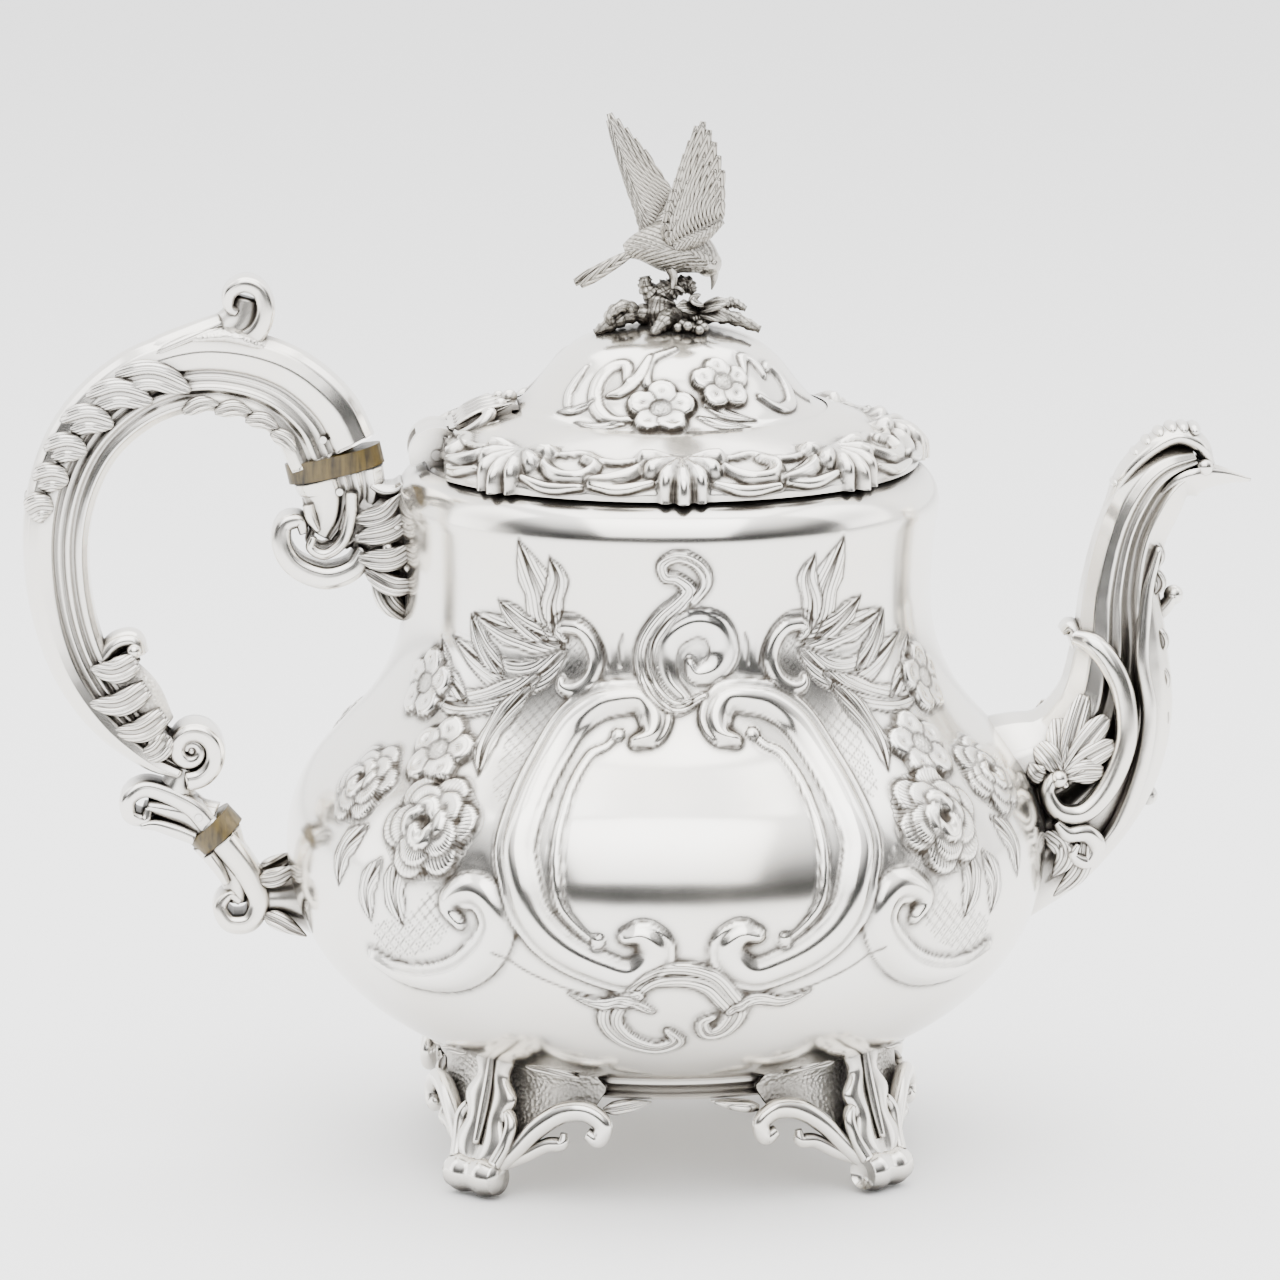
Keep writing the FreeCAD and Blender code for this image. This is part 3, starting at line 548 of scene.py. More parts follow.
def chain_outline(x, z, heading, chain, inset, step):
    """Points along tangent arcs (radius, turn in degrees) and lines (None, length)."""
    angle = math.radians(heading)
    pen = np.array([x, z]) + inset * np.array([-math.sin(angle), math.cos(angle)])
    points = [pen]
    for radius, amount in chain:
        if radius is None:
            count = max(int(amount / step), 1)
            move = np.array([math.cos(angle), math.sin(angle)]) * amount
            points += [pen + move * (k + 1) / count for k in range(count)]
            pen = pen + move
            continue
        turn = math.radians(amount)
        side = math.copysign(1, turn)
        own = radius - side * inset
        centre = pen + side * own * np.array([-math.sin(angle), math.cos(angle)])
        count = max(int(abs(turn) * own / step), 4)
        for k in range(count):
            a = angle + turn * (k + 1) / count
            points.append(centre + side * own * np.array([math.sin(a), -math.cos(a)]))
        pen, angle = points[-1], angle + turn
    return points


def turned_points(radius, height, angles, relief, normals):
    """Grid of points of a turned surface, pushed out along its normals by the relief."""
    r = radius[:, None] + relief * normals[:, 0][:, None]
    z = height[:, None] + relief * normals[:, 1][:, None]
    return np.stack([r * np.sin(angles), -r * np.cos(angles), np.broadcast_to(z, r.shape)], axis=-1)


def outline_normals(radius, height):
    dr, dz = np.gradient(radius), np.gradient(height)
    length = np.hypot(dr, dz) + 1e-12
    return np.stack([dz / length, -dr / length], axis=-1)


BIG_SCROLL = [(9.5, 106), (6.5, 107.5), (6, 111.5), (8.5, 115), (13, 115), (18, 113.5), (22.5, 109.5),
    (25, 104), (26.5, 97.5), (27, 91), (27, 84.5), (25.5, 78), (24, 72), (21.5, 67), (18, 63), (13.5, 60),
    (9.5, 58.5), (6.5, 60.5), (5, 64.5), (7, 68), (9.5, 67.5)]
INNER_LINE = [(13, 107.5), (15, 105), (18, 103), (20, 97.5), (20.5, 91), (20.5, 85.5), (20, 79.5),
    (19, 73.5), (16.5, 69), (14, 66)]
SMALL_SCROLL = [(25.5, 126.5), (27, 128), (25.5, 129.5), (22, 129), (19.5, 126), (18.5, 122), (20, 118),
    (23, 116), (25.5, 116.5), (26, 118)]
SCROLL_ECHO = [(29, 130), (27, 132.5), (23, 132.5), (19.5, 130), (17, 125.5), (16, 121.5)]
SIDE_SCROLL = [(35, 67.5), (37, 71), (35.5, 74), (32.5, 75), (30, 72.5), (29, 67.5), (31, 62),
    (35.5, 56.5), (41.5, 53.5), (48.5, 53), (54, 55.5)]
PLUME = [(4, 115.5), (-1.5, 113), (-5.5, 116), (-8, 121.5), (-7.5, 127), (-4.5, 132), (-1, 135.5),
    (1, 138.5), (-1.5, 141), (-4, 141.5), (-4.5, 144.5), (-1, 146), (3, 144), (4.5, 140), (2, 136)]
PLUME_LEAF = [(0.5, 114.5), (-3.5, 119.5), (-3.5, 127), (1.5, 131), (6.5, 130), (8.5, 125), (6.5, 121),
    (2.5, 120), (1, 122.5)]
FLOURISH = [(-9.5, 53.5), (-6, 58), (-1.5, 59), (2.5, 57.5), (5, 54), (7, 49.5), (5.5, 45), (3, 44),
    (2, 47), (3.5, 48.5)]
FLOURISH_LEFT = [(-8, 54), (-11.5, 51.5), (-12.5, 46.5), (-10, 42), (-5.5, 40), (-2, 42), (-3.5, 45)]
LEAVES = [
    # engraved and lightly raised sprays: points, greatest half width
    ([(26.5, 126), (30, 131), (31.5, 137), (33.5, 142), (35.5, 148)], 3.4),
    ([(28, 128), (28.5, 134), (27, 140), (28.5, 145)], 2.2),
    ([(27, 125.5), (33, 126.5), (40, 127.5), (49, 130)], 3),
    ([(30, 126.5), (36, 129.5), (42, 134)], 2.2),
    ([(26, 123.5), (31.5, 118.5), (38, 117.5), (46, 119.5), (56, 124)], 3.2),
    ([(40, 118), (46, 123), (50, 129.5)], 2.2),
    ([(31.5, 118), (36, 114.5), (43.5, 111.5), (51, 110), (58, 110.5)], 3),
    ([(33, 115.5), (37.5, 109.5), (39.5, 103.5), (38, 97.5)], 2.4),
    ([(48, 111), (56, 116), (60, 122.5)], 2),
    ([(56, 84), (60, 78), (61, 70)], 2.6),
    ([(47, 79), (47.5, 72), (46, 65)], 2.8),
    ([(51, 78), (53.5, 71), (53, 64)], 2.4),
]
TRELLIS = (
    # middle lines of the bands of diaper work, in (angle, height)
    [(23.5, 124), (27.5, 119), (30, 113.5), (32, 108), (31.5, 102), (31, 96.5)],
    [(34, 79), (38, 72), (42, 65), (50, 60)],
)


def trellis(chasing, points, half):
    """Band of crossed lines with a punched dot in each lozenge."""
    path = smooth_path(chasing.place(points), 60)
    cells, along, angle, radius = chasing.window(path, half)
    gap, _, _ = chasing.nearest(path, along, angle, radius)
    inside = (gap < half) & (chasing.relief[cells] < 0.25)
    across = radius * angle
    pitch = 3.1
    u, v = (across + along) / pitch, (across - along) / pitch
    lines = np.maximum(np.exp(-((u - np.round(u)) * 11) ** 2), np.exp(-((v - np.round(v)) * 11) ** 2))
    uc, vc = u - np.floor(u) - 0.5, v - np.floor(v) - 0.5
    dots = np.exp(-((uc ** 2 + vc ** 2) * 160))
    chasing.relief[cells] += np.where(inside, -0.20 * lines - 0.5 * dots, 0)
    chasing.ink[cells] = np.maximum(chasing.ink[cells], np.where(inside, 0.75 * lines + 0.9 * dots, 0))


def leaf(chasing, points, half):
    """A pointed leaf: slightly raised blade, cut outline, hatched veins."""
    shape = (0.25, 0.75, 1, 0.85, 0.95, 0.6, 0.05)
    widths = [half * s for s in shape]
    chasing.stroke(points, [1.25 * w for w in widths], 0.42, "leaf", hatch=1.1)
    chasing.stroke(points, [0.45] * 4 + [0.2], 0.35, "cut")


def mirrored(points):
    return [(-angle, level) for angle, level in points]


def chase_front(chasing):
    for mirror in (False, True):
        def side(points):
            return mirrored(points) if mirror else points
        section = "scroll_left" if mirror else "scroll"
        for band in TRELLIS:
            trellis(chasing, side(band), 4.6)
        for points, half in LEAVES:
            leaf(chasing, side(points), half)
        chasing.dome(side([(61, 112.5)])[0], 8.5, 1.6, five_petals)
        chasing.dome(side([(48.4, 100.4)])[0], 9, 1.9, five_petals)
        chasing.dome(side([(43, 87)])[0], 12.6, 3.4, rose)
        chasing.dome(side([(62, 92)])[0], 10.4, 2.6, rose)
        chasing.stroke(side(SIDE_SCROLL), (1.4, 3, 4, 4.2, 4.4, 4.6, 4.2, 3.4, 2.4), 2, section)
        chasing.stroke(side(BIG_SCROLL), (1.6, 3.8, 3.8, 4.2, 4.6, 4.8, 4.8, 4.8, 4.8, 4.4, 4, 4, 1.8),
            2.3, section, samples=130)
        chasing.stroke(side(INNER_LINE), (0.7, 1.1, 1.1, 1.1, 1.1, 0.6), 0.65)
        chasing.stroke(side(SMALL_SCROLL), (0.8, 1.6, 1.7, 1.7, 1.6, 0.8), 1.1)
        chasing.stroke(side(SCROLL_ECHO), 0.5, 0.35, "cut")
        for place in ((13, 107.3), (13.6, 66.2)):
            chasing.dome(side([place])[0], 1.6, 0.9, bead)
        chasing.stroke(side([(29.5, 62.5), (24, 57.5), (17, 54), (10.5, 52.5)]), 0.5, 0.32, "cut")
        chasing.stroke(side([(13.4, 122), (13.8, 126), (13, 128.5)]), 0.5, 0.35, "cut")
    chasing.stroke(PLUME, (0.8, 2.2, 2.6, 2.4, 2, 1.4, 1.2, 1.4, 1.6, 1), 0.8, "leaf", samples=110, hatch=0.9)
    chasing.stroke(PLUME_LEAF, (1.2, 2.6, 3.2, 3.4, 3.2, 2.4, 1), 1, "scroll", samples=70)
    chasing.stroke(FLOURISH, (1.6, 3, 3.4, 3.2, 2.4, 1.8, 1), 1.2, "leaf", samples=80, hatch=0.9)
    chasing.stroke(FLOURISH_LEFT, (1.6, 2.8, 3, 2.6, 2.2, 1), 1.2, "leaf", samples=60, hatch=0.9)
    for sign in (-1, 1):
        tail = [(sign * a, z) for a, z in ((6, 50), (10, 52.6), (14.5, 51.6), (18.5, 53.6))]
        chasing.stroke(tail, (1, 1.8, 1.4, 0.4), 0.8, "leaf", hatch=0.8)


def make_body():
    step = 0.52
    outline = chain_outline(BASE_RADIUS, BASE_HEIGHT, BASE_HEADING, BODY_CHAIN, -SKIN, step)
    chasing = Chasing(outline, np.arange(-90, 90, math.degrees(step / BODY_GIRTH)))
    chase_front(chasing)
    relief, angles, marks = chasing.repeated(8, 2.6)
    normals = outline_normals(chasing.radius, chasing.height)
    points = turned_points(chasing.radius, chasing.height, angles, relief, normals)
    rows, columns = relief.shape
    return make_object("body_chasing", points.reshape(-1, 3), grid_faces(rows, columns, True), CHASED,
        "pot", marks)


# ---------------------------------------------------------------- cast pieces

def section(places, levels, count=44):
    """Closed cross-section from its half thickness along the width, -1 being the inner side."""
    turn = np.linspace(0, math.pi, count // 2 + 1)
    across = np.cos(turn)
    level = np.interp(across, places, levels) * (np.sin(turn) > 1e-6)
    upper = np.stack([across, level], axis=-1)
    lower = np.stack([across[-2:0:-1], -level[-2:0:-1]], axis=-1)
    return np.concatenate([upper, lower])


def round_section(count=20):
    turn = np.arange(count) * 2 * math.pi / count
    return np.stack([np.cos(turn), np.sin(turn)], axis=-1)


def trough_section(count=24):
    """Crescent: the lower half of a pipe with its inner wall."""
    turn = np.linspace(-math.pi / 2, math.pi / 2, count // 2)
    outer = np.stack([np.cos(turn), np.sin(turn)], axis=-1)
    inner = outer[::-1] * (0.74, 0.84)
    return np.concatenate([outer, inner])


ROUND = round_section()
VEINED = section((-1, -0.92, -0.5, -0.12, 0, 0.12, 0.5, 0.92, 1),
    (0, 0.62, 1, 0.72, 0.42, 0.72, 1, 0.62, 0), 28)
GRIP = section((-1, -0.95, -0.76, -0.60, -0.52, -0.40, -0.28, -0.20, -0.10, 0, 0.12, 0.5, 0.8, 0.95, 1),
    (0, 0.52, 0.80, 0.74, 0.58, 0.84, 0.80, 0.60, 0.86, 0.64, 0.92, 1, 0.86, 0.55, 0), 96)
POURING = section((-1, -0.94, -0.66, -0.36, -0.22, -0.10, 0.06, 0.20, 0.34, 0.5, 0.74, 0.94, 1),
    (0, 0.46, 0.90, 1, 0.72, 0.94, 0.64, 0.60, 0.92, 0.80, 0.66, 0.38, 0), 96)
RIBBON = section((-1, -0.9, -0.55, 0, 0.55, 0.9, 1), (0, 0.86, 0.98, 1, 0.98, 0.86, 0), 36)
TROUGH = trough_section()


def swell(widths, count):
    """Half widths along a limb, smoothed between the given ones."""
    widths = np.atleast_1d(np.asarray(widths, dtype=float))
    if len(widths) == 1:
        return np.full(count, widths[0])
    if len(widths) == count:
        return widths
    return np.maximum(smooth_path(widths[:, None], count)[:, 0], 0.02)


def unit(vectors):
    return vectors / np.maximum(np.linalg.norm(vectors, axis=-1, keepdims=True), 1e-9)


class Casting:
    """Collects the limbs, leaves and beads of one cast piece."""

    def __init__(self):
        self.points, self.faces = [], []
        self.marks = {"tarnish": [], "matted": [], "hatch": [], "cut": []}
        self.count = 0

    def add(self, points, faces, tarnish=0, matted=0, hatch=0, cut=0):
        self.points.append(points)
        self.faces.append(np.asarray(faces) + self.count)
        self.count += len(points)
        for key, value in (("tarnish", tarnish), ("matted", matted), ("hatch", hatch), ("cut", cut)):
            self.marks[key].append(np.broadcast_to(value, (len(points),)))

    def tube(self, path, wide, deep=None, side=(0, 1, 0), shape=ROUND, matted=0, hatch=0, slant=0, caps=True,
            samples=0):
        """Limb along a smooth path of x, y, z.

        `deep` is its half size along `side` and `wide` its half size square to that; a round
        limb needs only `wide`. `hatch` is the pitch of its engraved lines, which `slant`
        turns from lengthwise to crosswise.
        """
        count = samples or max(10, 6 * len(path))
        line = smooth_path(path, count)
        place = np.linspace(0, 1, count)
        wide, deep = (swell(w, count) for w in (wide, wide if deep is None else deep))
        along = unit(np.gradient(line, axis=0))
        across = np.asarray(side, dtype=float)
        across = unit(across - along * (along @ across)[:, None])
        out = np.cross(across, along)
        ring = shape.shape[0]
        spread_out = out[:, None] * (wide[:, None] * shape[:, 0])[..., None]
        spread_side = across[:, None] * (deep[:, None] * shape[:, 1])[..., None]
        points = line[:, None] + spread_out + spread_side
        faces = [grid_faces(count, ring, True)]
        points = points.reshape(-1, 3)
        length = np.linalg.norm(np.diff(line, axis=0), axis=1).sum()
        reach = np.abs(shape[None, :, 0]) * wide[:, None] + slant * place[:, None] * length
        phase = (reach / hatch + 0.5).ravel() if hatch else 0
        if caps:
            points = np.concatenate([points, line[[0, -1]]])
            for centre, start in ((count * ring, 0), (count * ring + 1, (count - 1) * ring)):
                loop = np.arange(0, ring, 2)
                faces.append(np.stack([np.full_like(loop, centre), start + loop,
                    start + (loop + 1) % ring, start + (loop + 2) % ring], axis=-1))
            phase = np.concatenate([phase, phase[[0, -1]]]) if hatch else 0
        self.add(points, np.concatenate(faces), 0, matted, phase, 0.9 if hatch else 0)

    def ball(self, centre, radius, matted=0, stretch=(1, 1, 1)):
        rows, columns = 10, 16
        tilt = np.linspace(0.02, math.pi - 0.02, rows)[:, None]
        turn = np.arange(columns)[None, :] * 2 * math.pi / columns
        shell = np.stack([np.sin(tilt) * np.cos(turn), np.sin(tilt) * np.sin(turn),
            np.broadcast_to(np.cos(tilt), (rows, columns))], axis=-1)
        points = np.asarray(centre) + shell.reshape(-1, 3) * radius * np.asarray(stretch)
        self.add(points, grid_faces(rows, columns, True), matted=matted)

    def leaf(self, path, half, thick, side=(0, 1, 0), hatch=0.9, matted=0,
            lobes=(0.3, 0.85, 1, 0.9, 0.55, 0.08)):
        """Pointed leaf lying in the plane square to `side`."""
        self.tube(path, [half * k for k in lobes], [thick * k for k in (0.5, 1, 1, 0.9, 0.6, 0.2)], side,
            VEINED, matted, hatch, samples=18)

    def turned_copies(self, degrees):
        """Repeat everything collected so far, turned about the Z axis."""
        points, faces = np.concatenate(self.points), np.concatenate(self.faces)
        marks = {key: np.concatenate(values) for key, values in self.marks.items()}
        angle = math.radians(degrees)
        turn = np.array([[math.cos(angle), math.sin(angle), 0], [-math.sin(angle), math.cos(angle), 0],
            [0, 0, 1]])
        other = Casting()
        other.add(points @ turn, faces, **marks)
        return other

    def finish(self, name, material, body, slot, nodes):
        obj = make_object(name, np.concatenate(self.points), np.concatenate(self.faces), material, body,
            {key: np.concatenate(values) for key, values in self.marks.items()})
        if nodes:
            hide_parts(*nodes)
        return obj


def flat(points, y=0):
    """Points of x, z put at one y."""
    return [(x, y, z) for x, z in points]


def spiral(centre, first, last, start, turn, steps=14):
    """Points x, z of a volute from radius `first` to `last`, turning by `turn` degrees."""
    points = []
    for k in range(steps + 1):
        part = k / steps
        radius = first * (last / first) ** part
        angle = math.radians(start + turn * part)
        points.append((centre[0] + radius * math.cos(angle), centre[1] + radius * math.sin(angle)))
    return points


# ---------------------------------------------------------------- handle

HANDLE_LINE = [(-74.8, 159.6), (-78.6, 167.4), (-86, 174.2), (-95.6, 177.8), (-106.5, 178.2),
    (-118, 174.2), (-128, 165.6), (-134, 154.4), (-136.6, 141), (-135.6, 126), (-131.6, 112.4),
    (-124.4, 101), (-115.4, 92.4), (-109, 88.6)]
HANDLE_HALF = (10.4, 10.2, 9.8, 9.6, 9.3, 9, 8.5, 8, 7.5, 7.2, 6.9, 6.2, 4.6, 2.6)
SHOULDER_LEAVES = (
    # root and tip of each lobe on the handle's outer shoulder
    ((-124, 176), (-106.2, 174.6)), ((-129.6, 171.6), (-114.6, 172.2)), ((-134.6, 166.6), (-123.4, 167)),
    ((-138.2, 160.6), (-129.4, 161)), ((-140.8, 154.2), (-133.6, 154.4)), ((-142.4, 147.4), (-137, 148.4)),
)
HUSKS = (((-108, 169.6), (-99.6, 171.4)), ((-101, 169.6), (-92.4, 169.4)),
    ((-94.2, 167.8), (-86.6, 165.6)), ((-88.6, 164.8), (-83, 160.6)))
LOWER_LEAVES = (((-119, 113.6), (-129.4, 112)), ((-116.6, 107.6), (-130.2, 104)),
    ((-112.8, 101.4), (-125, 97.6)), ((-112.2, 96.6), (-119, 91.6)))


def bent(start, end, bow):
    """Three points x, z from start to end, bowed sideways."""
    dx, dz = end[0] - start[0], end[1] - start[1]
    middle = ((start[0] + end[0]) / 2 - dz * bow, (start[1] + end[1]) / 2 + dx * bow)
    return [start, middle, end]


def make_handle():
    cast = Casting()
    cast.tube(flat(HANDLE_LINE), HANDLE_HALF, (5.9,) * 11 + (6.2, 6.6, 6.6), shape=GRIP, samples=150)
    cast.tube(flat(spiral((-107, 92.8), 7, 1.2, -100, 640, 26)), (2.4, 2.3, 1.9, 1.3, 0.9),
        (6.8, 6.6, 6, 5.4), shape=RIBBON, samples=110)
    cast.ball((-107, 0, 92.8), 1.9, stretch=(1, 3, 1))
    # plate that closes the volute
    cast.tube(flat([(-107, 92.8), (-107.1, 92.8)]), 6.4, 4.6, matted=0.6)
    thumb = [(-95.6, 184.6), (-91.2, 187.4), (-89.4, 192), (-90.6, 196.4), (-94, 198), (-97.2, 196.2),
        (-97.6, 193), (-95.8, 191.6)]
    cast.tube(flat(thumb), (2.6, 2.4, 2.2, 2, 1.9, 1.7, 1.3, 1), (4.6, 5.4, 5.6, 5.4, 5.2, 4.8, 4.4, 4),
        shape=RIBBON, samples=64)
    cast.tube(flat([(-98.4, 185.4), (-95, 189.4), (-93.4, 194.6)]), (5.4, 5, 3.6), (4.2, 3.6, 3), samples=20)
    cast.tube(flat([(-124, 177.6), (-115, 182.8), (-106, 186.2), (-99, 189.4)]), (0.8, 2.4, 2.8, 2),
        (3.2, 4.8, 4.8, 3.6), samples=30)
    cast.tube(flat([(-106, 186), (-98, 186.6), (-91, 184.4), (-86, 181.2)]), (2, 2.4, 2.2, 0.8),
        (5.4, 6.2, 5.6, 3), matted=0.5, samples=30)
    cast.tube(flat([(-127, 113), (-123.6, 117), (-119.8, 117.6), (-118.6, 114.4)]), (2.4, 2.3, 2.4, 2.4), 4.6)
    cast.tube(flat([(-124.4, 112), (-118.4, 105), (-113.4, 98)]), (4, 4.8, 3), (4.9, 5.4, 5), matted=1)

    def dress(sign):
        y = 5.3 * sign
        for start, end in SHOULDER_LEAVES:
            path = [(x, y * k, z) for (x, z), k in zip(bent(start, end, 0.16), (0.72, 1.08, 1.04))]
            cast.leaf(path, 3.3, 1.9, lobes=(0.6, 1, 1.1, 1, 0.8, 0.2))
        for start, end in HUSKS:
            cast.leaf(flat(bent(start, end, 0.12), y * 0.9), 2, 1.3)
        for start, end in LOWER_LEAVES:
            cast.leaf(flat(bent(start, end, 0.14), y * 1.02), 2.9, 1.7, lobes=(0.7, 1, 1.1, 0.9, 0.6, 0.1))
        cast.leaf(flat([(-116, 181), (-107, 184.6), (-98.6, 188.4)], y * 0.8), 2.4, 1.4)
        cast.ball((-119.6, y * 0.86, 115.6), 1.7)

    for sign in (-1, 1):
        dress(sign)
    return cast.finish("handle_casting", CAST, "pot", "cast_silver", ["handle"])


def make_tail():
    cast = Casting()
    path = [(-103.4, 75.6), (-107, 79.6), (-112.4, 82.6), (-117.6, 84), (-121.2, 81.8), (-121, 78),
        (-117.8, 77), (-116.8, 79.6)]
    cast.tube(flat(path), (2.6, 2.4, 2.2, 2.1, 2, 1.8, 1.5, 1), (5.4, 5.4, 5.2, 5.2, 5.6, 5.4, 5, 4.4),
        shape=RIBBON, samples=60)
    cast.tube(flat([(-103.6, 75.2), (-107.6, 77.6), (-112.6, 79), (-117, 80)]), (5.6, 4, 3, 2), 4.6,
        samples=24)
    cast.tube(flat([(-106.6, 72.6), (-111, 74.4), (-115.4, 75.8), (-118.6, 75.6)]), (1.6, 1.7, 1.4, 0.8),
        5.3, shape=RIBBON, samples=30)
    cast.tube(flat([(-110.6, 82.4), (-109.4, 85.8), (-108.4, 88.6)]), (4.6, 3.6, 3.4), (5, 5.2, 5.4))
    return cast.finish("handle_tail_casting", CAST, "pot", "cast_silver", ["handle_tail"])


SOCKET_LEAVES = (
    # root, tip, y at the root, y at the tip, half width
    ((-70, 145), (-59.4, 151.6), 5, 8.6, 2.4),
    ((-69.6, 141), (-55.4, 150), 5.2, 9.8, 2.8),
    ((-69, 136.4), (-55.6, 141), 5, 10.6, 2.8),
    ((-67.6, 133.4), (-54.6, 131.6), 4.6, 10.2, 2.6),
    ((-64.6, 133.4), (-56.8, 121.6), 3, 4.4, 3),
    ((-62, 143), (-54, 150.4), 7, 10.6, 2.2),
)


def make_upper_socket():
    cast = Casting()
    cast.tube(flat([(-73.5, 154.7), (-72.6, 150.4), (-73.4, 145), (-76, 140.4)]), (10.3, 9.4, 7.6, 5.2),
        (5.9, 5.6, 5.2, 4.8), shape=GRIP, samples=36)
    roll = [(-67.6, 138), (-70.6, 133.6), (-76.6, 131.8), (-83, 134.2), (-86.2, 138.8), (-85.8, 143.6),
        (-82.4, 144.6), (-81.4, 141.8)]
    cast.tube(flat(roll), (2.3, 2.6, 2.8, 2.7, 2.5, 2.1, 1.7, 1.1), (5.4, 6, 6.2, 6.2, 6, 5.6, 5.2, 4.6),
        shape=RIBBON, samples=64)
    bracket = [(-73, 145.6), (-67, 144), (-61, 141.6), (-52, 139)]
    cast.tube(flat(bracket), (6.4, 7.6, 11, 15), (4.8, 5.4, 7.2, 10), matted=0.8, samples=40)

    def dress(sign):
        cast.tube(flat([(-70.6, 151.4), (-70.8, 146), (-72.6, 140.4), (-76.6, 137.4), (-79.8, 138.8),
            (-79.4, 141.4)], 5.2 * sign), (1.5, 1.5, 1.4, 1.3, 1.2, 0.9), 1.5, samples=44)
        cast.tube(flat([(-80.4, 148.6), (-79.8, 145.6), (-78.2, 142.6)], 4.6 * sign), (1.3, 1.3, 0.8), 1.2)
        for start, end, y0, y1, half in SOCKET_LEAVES:
            middle = bent(start, end, -0.14)
            path = [(x, sign * y, z) for (x, z), y in zip(middle, (y0, (y0 + y1) / 2 + 0.9, y1))]
            cast.leaf(path, half, 1.7)
        for x, y, z in ((-62.6, 7.9, 139), (-60.4, 8.6, 144.4), (-65.4, 6.4, 147), (-58, 9.2, 135)):
            cast.ball((x, sign * y, z), 1.5)

    for sign in (-1, 1):
        dress(sign)
    cast.leaf([(-64, 0, 134), (-59.6, 0, 128.6), (-56.4, 0, 120.6)], 3.6, 3.6)
    cast.tube(flat([(-66.4, 152.6), (-63.6, 151.2), (-60.8, 151.4), (-59.2, 153)]), (1.6, 2, 1.9, 1.2),
        (4.6, 5.4, 6, 6), samples=26)
    return cast.finish("upper_socket_casting", CAST, "pot", "cast_silver", ["upper_socket"])


def make_lower_socket():
    cast = Casting()
    path = [(-100.4, 71.8), (-97, 67.6), (-93.8, 62.6), (-92.2, 57.4), (-94.4, 53.2), (-98.8, 53),
        (-101, 56.6), (-98.8, 59.4), (-96.4, 57.8)]
    cast.tube(flat(path), (3.4, 3.2, 2.9, 2.6, 2.4, 2.2, 1.8, 1.4, 1),
        (5.6, 5.7, 5.8, 6, 6.2, 6.2, 5.8, 5.2, 4.8), shape=RIBBON, samples=72)
    cast.tube(flat([(-101.6, 72), (-99.2, 67.4), (-97.2, 62.6), (-97, 57.6)]), (6, 4.8, 3.8, 3), 4.8)
    cast.tube(flat([(-95, 57.8), (-89, 57.8), (-83.6, 57.8), (-79, 57.8)]), (4, 4.8, 6.8, 9),
        (4.6, 5.2, 6.8, 8.8), samples=30)

    def dress(sign):
        cast.tube(flat([(-103.4, 69), (-101.2, 65.6), (-99.4, 62.2)], 4.6 * sign), (1.4, 1.4, 0.8), 1.4)
        cast.leaf([(-92, 4.6 * sign, 63), (-88, 6.6 * sign, 64), (-83.2, 7.6 * sign, 66.6)], 2.2, 1.6)
        cast.leaf([(-91, 4.8 * sign, 55), (-87, 6.4 * sign, 53.4), (-81.6, 7.4 * sign, 50.4)], 2.2, 1.6)

    for sign in (-1, 1):
        dress(sign)
    return cast.finish("lower_socket_casting", CAST, "pot", "cast_silver", ["lower_socket"])


# ---------------------------------------------------------------- spout

SPOUT_LINE = [(70, 72), (84, 78.4), (95, 87), (101, 99), (102.4, 113), (102.4, 126), (104.4, 138),
    (108.2, 146.8), (112.8, 152.4), (119.4, 155.2)]
SPOUT_TALL = (25, 22, 17.4, 14, 11.2, 9.2, 8.2, 8.2, 7, 4.6)
SPOUT_DEEP = (17, 15.6, 13.6, 11.8, 10.4, 8.9, 8, 7.4, 6.6, 4.6)


def spout_side(x, z):
    """Half depth of the spout's side where it passes a place x, z."""
    samples = 120
    line = smooth_path(SPOUT_LINE, samples)
    gaps = np.hypot(line[:, 0] - x, line[:, 1] - z)
    k = int(gaps.argmin())
    place = k / (samples - 1) * (len(SPOUT_LINE) - 1)
    steps = np.arange(len(SPOUT_LINE))
    tall, deep = np.interp(place, steps, SPOUT_TALL), np.interp(place, steps, SPOUT_DEEP)
    return deep * math.sqrt(max(1 - min(gaps[k] / tall, 0.98) ** 2, 0.04)) * 0.5 + deep * 0.5


def on_spout(points, sign, lift=0):
    return [(x, sign * (spout_side(x, z) + lift), z) for x, z in points]


